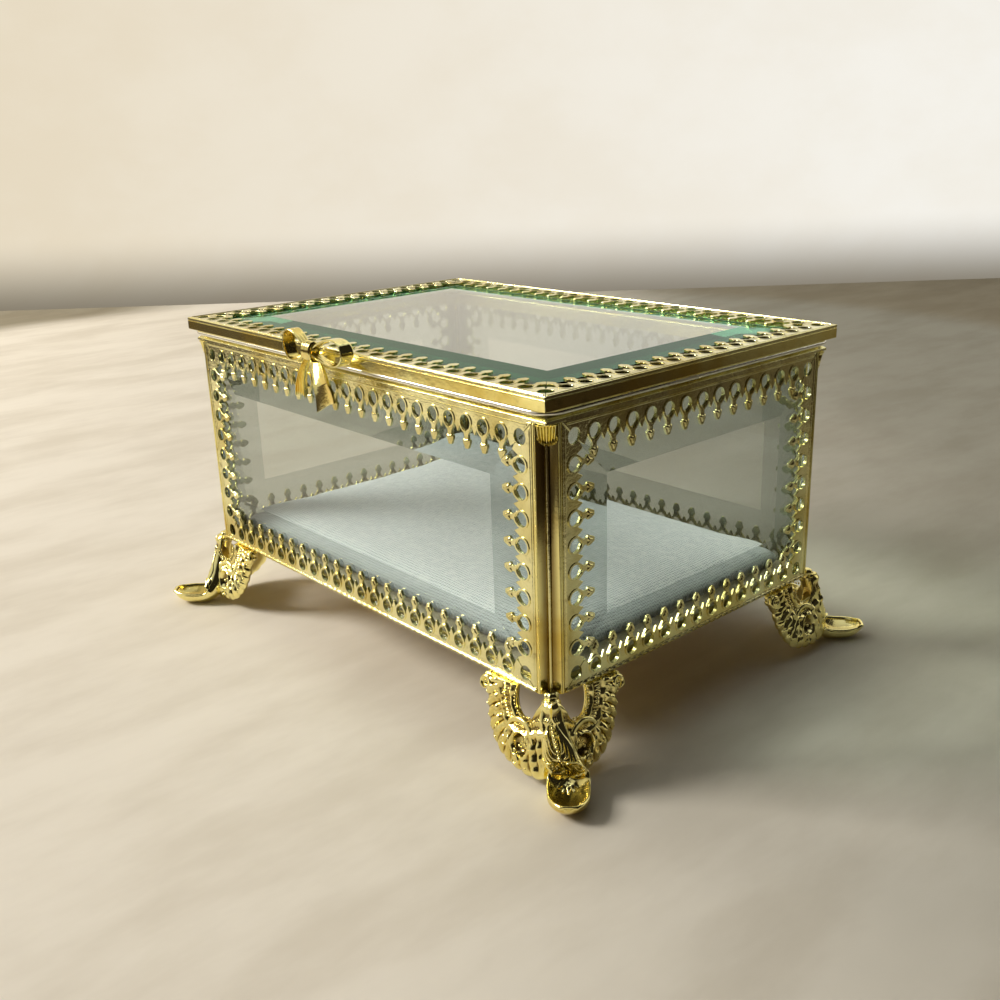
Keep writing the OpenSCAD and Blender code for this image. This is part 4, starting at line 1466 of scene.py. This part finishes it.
@dataclass
class Foot:
    """A cast foot: two pierced wings with leaf relief, and a leg that ends in a spoon toe."""

    sizes: Sizes
    finish: bpy.types.Material
    corner: str
    wing_l: float = 19
    wing_t: float = 2.2
    wing_lean: float = 12
    toe_reach: float = 14.3
    toe_w: float = 9
    toe_tip_h: float = 4
    toe_shift: float = 3.3
    rows: int = 220

    def __post_init__(self) -> None:
        """Works out the leg's smooth path, its lengths and its tilt."""
        q = smooth_path(self.stations(), self.rows)
        q[:, 2:4] = np.maximum(q[:, 2:4], 0.25)
        self.path = q
        self.tilt = np.arctan2(np.gradient(q[:, 1]), np.gradient(q[:, 0]))
        step = np.hypot(np.diff(q[:, 0]), np.diff(q[:, 1]))
        self.way = np.concatenate([[0], np.cumsum(step)])

    def stations(self) -> Array:
        """Leg's stations: way out, height, half thickness, half width and dish of the toe."""
        h, w, r = self.sizes.foot_h, self.toe_w, self.toe_reach
        return np.array(
            [
                [-1.2, h - 0.8, 1.7, 1.9, 0],
                [-0.4, h - 4.6, 2, 2.6, 0],
                [0.6, h - 9.2, 2.4, 3.4, 0],
                [1.5, 6.4, 2.7, 0.45 * w, 0],
                [2.9, 4.3, 2.9, 0.47 * w, 0.6],
                [5, 3.1, 3.0, 0.49 * w, 1.3],
                [7.5, 2.85, 2.95, 0.49 * w, 1.6],
                [r - 4.2, 2.85, 2.7, 0.46 * w, 1.5],
                [r - 2.2, 3.0, 2.1, 0.36 * w, 1.2],
                [r - 0.9, 3.15, 1.3, 0.24 * w, 0.7],
                [r, 3.3, 0.6, 0.1 * w, 0.2],
            ]
        )

    def to_part(self, local: Array) -> Array:
        """Carries points of the corner's frame to the part, cut at the table and the rail."""
        local[..., 2] = np.clip(local[..., 2], 0.0, self.sizes.foot_h - 0.05)
        sx, sy = CORNERS[self.corner]
        return self.sizes.corner(local.reshape(-1, 3), sx, sy).reshape(local.shape)

    def on_leg(self, points: Array) -> Array:
        """Carries (w, way, h) on the leg's front to the part.

        Args:
            points: Way across, way down along the leg's path, height off the front, in mm.

        Returns:
            Places in the part's frame, with b the sine of the angle that w gives.
        """
        w, v, h = points[..., 0], points[..., 1], points[..., 2]
        s = [np.interp(v, self.way, self.path[:, k]) for k in range(5)]
        tilt = np.interp(v, self.way, self.tilt)
        c = np.clip(w / s[3], -0.985, 0.985)
        b = np.sqrt(1 - c**2)
        deep = -self.front(s, b) - h
        return self.diagonal(s[0], s[1], w, deep, tilt)

    @staticmethod
    def front(s: Sequence[Array], b: Array) -> Array:
        """Height of the leg's front: a b^0.7 less the dish 1.75 s4 b^2, a being less on the toe."""
        return s[2] * (1 - 0.55 * np.minimum(s[4], 1)) * b**0.7 - 1.75 * s[4] * b**2

    def diagonal(self, s0: Array, s1: Array, w: Array, deep: Array, tilt: Array) -> Array:
        """Place of a point deep off the leg's line, w to its side, in the part's frame."""
        out = s0 + deep * np.sin(tilt)
        z = s1 - deep * np.cos(tilt)
        sx, sy = CORNERS[self.corner]
        w = w - sx * sy * self.toe_shift * np.clip((s0 + 0.4) / 3.3, 0, 1)
        f = math.sqrt(0.5)
        return self.to_part(np.stack([f * (out + w), f * (out - w), z], -1))

    def leg(self, skin: Skin) -> None:
        """Adds the leg and toe: oval rings along the path, dished on the toe."""
        a = ring(56)[None]
        s = [self.path[:, k : k + 1] for k in range(5)]
        c, b = np.cos(a), np.abs(np.sin(a))
        front = np.sin(a) < 0
        ridge = 0.16 * front * b * np.cos(2.6 * s[3] * c) * np.clip((s[1] - 5.5) / 3, 0, 1)
        deep = np.where(front, -self.front(s, b) - ridge, s[2] * b)
        skin.loft(self.diagonal(s[0], s[1], s[3] * c, deep, self.tilt[:, None]))
        top = self.sizes.foot_h
        r = np.array([0.9, 1.45, 1.7, 1.6, 1.35, 1.5, 1.3, 0.7])[:, None]
        z = top + np.array([-2.6, -2.2, -1.6, -1.0, -0.4, 0.2, 0.8, 1.15])[:, None]
        r = r * (1 + 0.08 * np.cos(7 * a))
        bud = np.stack([r * np.cos(a) - 1.05, r * np.sin(a) - 1.05, z + 0 * a], -1)
        sx, sy = CORNERS[self.corner]
        skin.loft(self.sizes.corner(bud.reshape(-1, 3), sx, sy).reshape(bud.shape))

    def on_wing(self, m: int) -> Callable[[Array], Array]:
        """Placing on a wing: (u, z, h) is way from the corner, height and height off the face.

        Args:
            m: 0 for the wing along x and 1 for the one along y.
        """
        a, top = math.radians(self.wing_lean), self.sizes.foot_h

        def place(points: Array) -> Array:
            """Leans a point with the wing and carries it to the part."""
            u, z, h = points[..., 0], points[..., 1] - top, points[..., 2]
            out = 0.6 + h * math.cos(a) - z * math.sin(a)
            up = top + h * math.sin(a) + z * math.cos(a)
            return self.to_part(np.stack([-u, out, up] if m == 0 else [out, -u, up], -1))

        return place

    def wing(self, skin: Skin, m: int) -> None:
        """Adds a wing: a sheet between its outer outline and its window's outline.

        Way t runs along both outlines from the rail to the leg, and s from the outer one to the
        window. The outer outline waves as leaf tips. The height is an arch across, a row of
        leaf flutes |sin| that slant over the outer half, a ridge along the window and a deep
        round cavity beside the leg.
        """
        l, h = self.wing_l, self.sizes.foot_h
        outer = smooth_path(
            np.array(
                [
                    [l - 0.4, h + 0.2], [l + 0.5, h - 1.9], [l - 1.2, h - 4.4], [l - 2.0, h - 7.6],
                    [l - 3.2, h - 10.6], [l - 5.0, h - 13.4], [l - 7.8, h - 15.8],
                    [l - 11.0, 2.2], [4, 1.7], [0, 2.0], [-1.5, 2.6],
                ]
            ),
            240,
        )
        inner = smooth_path(
            np.array(
                [
                    [9.5, h + 0.2], [9.3, h - 2.6], [8.4, h - 4.9], [6.5, h - 6.1],
                    [4.4, h - 5.7], [2.9, h - 4.1], [2.2, h - 1.8], [1.2, h + 0.2], [-1, h + 0.2],
                ]
            ),
            240,
        )
        t = np.linspace(0, 1, 240)[:, None]
        s = np.linspace(0, 1, 45)[None]
        fade = np.clip(1 - (t - 0.86) / 0.06, 0, 1) * np.clip(t / 0.03, 0, 1)
        tips = 0.42 * np.abs(np.sin(13 * math.pi * t)) ** 0.8 * fade
        normal = np.gradient(outer, axis=0)
        normal = normal[:, ::-1] * np.array([1, -1])
        normal /= np.linalg.norm(normal, axis=1, keepdims=True)
        edge = outer - normal * (tips - 0.25)
        plan = edge[:, None] + (inner - edge)[:, None] * s[..., None]
        u, z = plan[..., 0], plan[..., 1]
        arch = np.sqrt(np.clip(1 - (2 * s - 1) ** 2, 0, 1))
        slant = np.abs(np.sin(math.pi * (13 * t + 2.2 * s)))
        leaf = 0.75 * slant**0.6 * np.clip(s / 0.1, 0, 1) * np.clip(1 - (s - 0.42) / 0.12, 0, 1)
        leaf *= np.clip(1 - (t - 0.88) / 0.06, 0, 1)
        vein = 0.55 * np.exp(-(((s - 0.56) / 0.06) ** 2))
        pearl = 0.4 * np.exp(-(((s - 0.72) / 0.05) ** 2)) * np.abs(np.sin(30 * math.pi * t))
        hem = 0.6 * np.exp(-(((s - 0.9) / 0.07) ** 2))
        lump = 0.22 * np.sin(1.9 * u + 0.8 * z) * np.sin(1.5 * z - 0.7 * u + 1)
        r = np.hypot(u - 5.9, (z - 7.4) * 0.92)
        pit = -1.15 * np.clip(1 - (r / 2.1) ** 4, 0, 1) + 0.6 * np.exp(-(((r - 2.5) / 0.4) ** 2))
        away = np.clip((r - 2.2) / 1.0, 0, 1)
        height = -0.35 + 0.55 * arch + away * (leaf + vein + pearl + hem + lump * arch) + pit
        front = np.stack([u, z, height + 0 * t], -1)
        back = np.stack([u, z, -self.wing_t * (0.45 + 0.55 * arch) + 0 * t], -1)
        place = self.on_wing(m)
        skin.sheet(place(front), place(back))
        tip = ((np.arange(11) + 0.5) / 13 * 239).astype(int)
        self.beads(skin, place, plan[tip, 4], 0.4, 0.25)

    def bar(
        self,
        skin: Skin,
        place: Callable[[Array], Array],
        knots: Sequence[tuple[float, float]] | Array,
        wide: Sequence[float],
        tall: float,
        groove: float = 0.0,
        base: float = 0.0,
        n: int = 34,
    ) -> None:
        """Adds a rounded bar that lies on a surface.

        Args:
            skin: The skin that it goes into.
            place: Carries (first way, second way, height off the surface) to the part.
            knots: Places on the surface that its line passes through.
            wide: Half widths, spread evenly along it.
            tall: Height where it is widest.
            groove: Depth of a groove along its crest, as a share of the height.
            base: Height of its line off the surface.
            n: Rings along it.
        """
        line = smooth_path(np.array(knots, float), n)
        way = np.gradient(line, axis=0)
        way /= np.linalg.norm(way, axis=1, keepdims=True) + 1e-9
        t = np.linspace(0, 1, n)
        w = np.interp(t, np.linspace(0, 1, len(wide)), wide)
        w = w * np.clip(np.minimum(t, 1 - t) * 12 + 0.08, 0, 1) ** 0.5
        c = ring(14)[None]
        side = w[:, None] * np.cos(c)
        crest = np.sin(c) > 0
        h = np.where(crest, tall * w[:, None] / max(wide), 0.45) * np.sin(c)
        h = h * (1 - groove * np.exp(-((np.cos(c) / 0.3) ** 2)) * crest)
        rows = np.stack([line[:, :1] - way[:, 1:] * side, line[:, 1:] + way[:, :1] * side, base + h], -1)
        skin.loft(place(rows))

    def scroll(
        self,
        skin: Skin,
        place: Callable[[Array], Array],
        middle: tuple[float, float],
        r: float,
        turns: float,
        start: float,
        wide: float = 0.5,
        base: float = 0.2,
    ) -> None:
        """Adds a curled scroll: a bar along a spiral whose radius shrinks as it turns."""
        t = np.linspace(0, 1, 22)
        radius, a = r * (1 - 0.84 * t), start + TAU * turns * t
        knots = np.stack([middle[0] + radius * np.cos(a), middle[1] + radius * np.sin(a)], -1)
        self.bar(skin, place, knots, (wide, wide * 0.85, wide * 0.6), 0.8, 0, base, 54)

    def beads(self, skin: Skin, place: Callable[[Array], Array], at: Array, r: float, base: float) -> None:
        """Adds round beads at places on a surface."""
        spots = np.concatenate([at, np.full((len(at), 1), base)], 1)
        steps = spots[None] + np.concatenate([np.zeros((1, 3)), np.eye(3)])[:, None] * 0.2
        placed = place(steps)
        axes = np.stack([placed[k] - placed[0] for k in (1, 2, 3)], 1)
        axes /= np.linalg.norm(axes, axis=2, keepdims=True) + 1e-9
        skin.scatter(dome(r, r, around=10), placed[0], axes)

    def wing_relief(self, skin: Skin, m: int) -> None:
        """Adds a wing's scrolls, leaves, shell fan and beads."""
        l, h, place = self.wing_l, self.sizes.foot_h, self.on_wing(m)
        arch = [
            (l - 8.2, h - 10.6), (l - 9.6, h - 7.6), (l - 12.4, h - 6.5), (l - 15.2, h - 7.6),
            (l - 16.7, h - 10.4), (l - 16.9, h - 13.0),
        ]
        self.bar(skin, place, arch, (0.35, 0.6, 0.7, 0.6, 0.4), 0.75, 0.25, 0.2, 48)
        self.scroll(skin, place, (l - 1.4, h - 2.2), 1.7, 1.4, -1.2, 0.55, 0.3)
        self.scroll(skin, place, (l - 8.6, h - 12.0), 1.5, 1.3, 2.0, 0.42)
        self.scroll(skin, place, (l - 12.4, 3.9), 1.3, 1.3, 0.4, 0.42)
        for k in range(7):
            a = math.radians(8 + 27 * k)
            c, s = math.cos(a), math.sin(a)
            fan = [(5.9 + 0.3 * c, 7.0 + 0.3 * s), (5.9 + 1.0 * c, 7.0 + 1.0 * s), (5.9 + 1.7 * c, 7.0 + 1.7 * s)]
            self.bar(skin, place, fan, (0.14, 0.3, 0.26), 0.35, 0.3, -1.1, 10)
        leaves = [
            [(l - 2.6, h - 4.0), (l - 4.6, h - 4.4), (l - 6.4, h - 2.8)],
            [(l - 3.4, h - 7.2), (l - 5.4, h - 7.6), (l - 7.4, h - 6.0)],
            [(l - 4.6, h - 10.2), (l - 6.6, h - 10.4), (l - 8.4, h - 8.8)],
            [(l - 7.0, h - 13.6), (l - 8.4, h - 12.6), (l - 9.4, h - 10.8)],
            [(l - 11.4, 2.9), (l - 12.2, 4.6), (l - 11.6, 6.2)],
        ]
        for leaf in leaves:
            self.bar(skin, place, leaf, (0.25, 0.75, 0.2), 0.7, 0.55, 0.25, 18)
        row = smooth_path(np.array([[9.0, h - 1.0], [8.9, h - 3.6], [6.9, h - 5.4], [4.2, h - 5.2]]), 12)
        self.beads(skin, place, row, 0.27, 0.35)
        tips = np.array([[l - 1.4, h - 2.2], [5.9, 7.2], [l - 8.6, h - 12.0]])
        self.beads(skin, place, tips, 0.42, 0.2)

    def leg_relief(self, skin: Skin) -> None:
        """Adds the leg's nested leaves, bead string, volutes, drop and the toe's rim."""
        leg = self.on_leg
        low = self.reach(4.2)
        for side in (-1, 1):
            for k in range(4):
                start, end = 3.2 + 0.5 * k, 9.4 + 1.25 * k
                near, far_ = 0.75 + 0.2 * k, 1.25 + 0.55 * k
                knots = [
                    (side * 0.45, start), (side * near, start + 1.2),
                    (side * far_, (start + end) / 2 + 0.6), (side * (far_ - 0.2), end),
                    (side * (near - 0.35), end + 0.9),
                ]
                self.bar(skin, leg, knots, (0.2, 0.36, 0.4, 0.34, 0.15), 0.5, 0.3, 0.05, 30)
            self.scroll(skin, leg, (side * 2.35, low - 0.9), 1.75, 1.5, math.pi / 2 + side * 1.2, 0.55)
            curl = [(side * 3.6, low - 3.2), (side * 3.5, low - 1.6), (side * 2.9, low + 0.6), (side * 1.2, low + 0.9)]
            self.bar(skin, leg, curl, (0.3, 0.55, 0.55, 0.3), 0.6, 0.2, 0.1, 26)
        string = np.stack([0 * np.arange(13.0), 4.2 + 0.78 * np.arange(13)], -1)
        self.beads(skin, leg, string, 0.4, 0.1)
        self.beads(skin, leg, np.array([[-2.35, low - 0.9], [2.35, low - 0.9]]), 0.5, 0.3)
        drop = [(0, low - 2.0), (0, low - 0.4), (0, low + 1.2)]
        self.bar(skin, leg, drop, (0.2, 0.75, 0.15), 0.9, 0.3, 0.2, 18)
        for a in (-0.9, -0.45, 0.0, 0.45, 0.9):
            tip = (2.9 * math.sin(a), low + 1.1 + 2.9 * math.cos(a))
            mid = (1.5 * math.sin(a), low + 1.1 + 1.5 * math.cos(a))
            self.bar(skin, leg, [(0, low + 1.0), mid, tip], (0.25, 0.6, 0.14), 0.8, 0.35, 0.0, 14)
        v = np.linspace(low + 1.6, self.way[-1] - 0.35, 22)
        half = 0.9 * np.interp(v, self.way, self.path[:, 3])
        rim = np.concatenate([np.stack([-half, v], -1), np.stack([half, v], -1)[::-1]])
        self.bar(skin, leg, rim, (0.35, 0.4, 0.45, 0.4, 0.35), 0.5, 0, 0.05, 90)

    def reach(self, z: float) -> float:
        """Way down the leg at which its line has come down to height z."""
        first = int(np.argmax(self.path[:, 1] < z))
        return float(self.way[first])

    def build(self) -> None:
        """Builds the casting in place of its solid."""
        skin = Skin()
        self.leg(skin)
        self.leg_relief(skin)
        for m in (0, 1):
            self.wing(skin, m)
            self.wing_relief(skin, m)
        piece = skin.build(f"foot_{self.corner}_casting", sharp=60)
        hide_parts(f"foot_{self.corner}")
        dress(piece, Body.CASKET, self.finish)
        # Relief for the gilding's painted shade in the casting's hollows.
        mark_relief(piece, 10, 0.14)


# ---- Picture -------------------------------------------------------------------------------


@dataclass(frozen=True)
class PhotoCamera:
    """Camera at the photograph's viewing angle; lengths in millimetres, angles in degrees."""

    azimuth: float = 48.87
    elevation: float = 18.85
    roll: float = -1.89
    distance: float = 374.26
    target: tuple[float, float, float] = (-59.52, 53.74, 6.28)
    lens: float = 39.54

    def build(self) -> None:
        """Puts the camera in the scene, looking along its own -Z."""
        a, e, r = (math.radians(v) for v in (self.azimuth, self.elevation, self.roll))
        back = Vector((math.sin(a) * math.cos(e), -math.cos(a) * math.cos(e), math.sin(e)))
        right = Vector((math.cos(a), math.sin(a), 0))
        up = back.cross(right)
        x = math.cos(r) * right + math.sin(r) * up
        y = -math.sin(r) * right + math.cos(r) * up
        data = bpy.data.cameras.new("photo_camera")
        data.lens, data.sensor_width, data.sensor_fit = self.lens, 36, "HORIZONTAL"
        data.clip_start, data.clip_end = 0.01, 50
        camera = bpy.data.objects.new("photo_camera", data)
        turn = Matrix((x, y, back)).transposed().to_4x4()
        place = (Vector(self.target) + self.distance * back) * MM
        camera.matrix_world = Matrix.Translation(place) @ turn
        bpy.context.scene.collection.objects.link(camera)
        bpy.context.scene.camera = camera


@dataclass
class Studio:
    """Pale floor and wall, soft lamps and a plain room for the metal to mirror."""

    palette: Palette
    floor_r: float = 0.62
    wall_h: float = 1.6

    def lamp(
        self,
        name: str,
        place: Sequence[float],
        aim: Sequence[float],
        size: float,
        watts: float,
        color: Color = (1, 1, 1),
    ) -> None:
        """Adds one square area lamp, in metres."""
        data = bpy.data.lights.new(name, "AREA")
        data.size, data.energy, data.color = size, watts, color
        lamp = bpy.data.objects.new(name, data)
        turn = (Vector(aim) - Vector(place)).to_track_quat("-Z", "Y").to_matrix().to_4x4()
        lamp.matrix_world = Matrix.Translation(place) @ turn
        bpy.context.scene.collection.objects.link(lamp)

    def room(self) -> None:
        """World: a plain room, light towards the front left and dim towards the right."""
        world = bpy.data.worlds.new("room")
        bpy.context.scene.world = world
        world.use_nodes = True
        t = Tree(world.node_tree)
        way = t.add("TexCoord").outputs["Generated"]
        side = t.add(
            "VectorMath", {"operation": "DOT_PRODUCT"}, i0=way, i1=(-0.72, -0.6, 0.35)
        ).outputs["Value"]
        light = t.blend(t.remap(side, 0.4, 0.85), (0.03, 0.026, 0.02), (1.0, 0.97, 0.9))
        back = t.add("Background", Color=light, Strength=0.6)
        t.add("OutputWorld", Surface=back.outputs[0])

    def stage(self) -> None:
        """Floor that curves up into a wall behind: a profile carried along a line."""
        a = math.radians(48.87)
        right = np.array([math.cos(a), math.sin(a), 0])
        deep = np.array([-math.sin(a), math.cos(a), 0])
        bend = np.linspace(0, math.pi / 2, 16)
        r = 0.05
        out = np.concatenate([[-2.5, 0.0], self.floor_r - r + r * np.sin(bend), [self.floor_r]])
        up = np.concatenate([[0.0, 0.0], r - r * np.cos(bend), [self.wall_h]])
        wide = np.linspace(-3, 3, 3)
        grid = (
            out[:, None, None] * deep
            + wide[None, :, None] * right
            + up[:, None, None] * np.array([0, 0, 1])
        )
        n, m = grid.shape[:2]
        at = np.arange(n * m).reshape(n, m)
        quads = np.stack([at[:-1, :-1], at[:-1, 1:], at[1:, 1:], at[1:, :-1]], -1).reshape(-1, 4)
        mesh = bpy.data.meshes.new("table_and_wall")
        mesh.from_pydata(grid.reshape(-1, 3).tolist(), [], quads.tolist())
        mesh.shade_smooth()
        mesh.materials.append(self.palette.floor)
        mesh.materials.append(self.palette.wall)
        row = np.repeat(np.arange(n - 1), m - 1)
        mesh.polygons.foreach_set("material_index", (row > 4).astype(np.int32))
        piece = bpy.data.objects.new("table_and_wall", mesh)
        bpy.context.scene.collection.objects.link(piece)

    def build(self) -> None:
        """Builds stage, lamps and room."""
        self.stage()
        self.room()
        middle = (0, 0, 0.03)
        self.lamp("window", (-1.0, -0.95, 0.9), middle, 0.54, 29.0, (1.0, 0.97, 0.93))
        self.lamp("ceiling", (-0.05, 0.1, 1.1), middle, 0.8, 1.2, (0.97, 0.98, 1.0))
        view = bpy.context.scene.view_settings
        view.view_transform = "Standard"


# ---- Main ----------------------------------------------------------------------------------


def main() -> None:
    """Builds the classes in order."""
    logging.basicConfig(level=logging.INFO, format="%(name)s: %(message)s")
    palette = Palette()
    PhotoCamera().build()
    BodyFrame(SIZES, palette).build()
    Gallery(SIZES, palette.gallery).build()
    Pad(palette.linen).build()
    Lid(SIZES, palette).build()
    Bow(SIZES, palette.cast).build()
    for corner in CORNERS:
        Foot(SIZES, palette.cast, corner).build()
    Studio(palette).build()


if __name__ == "__main__":
    main()
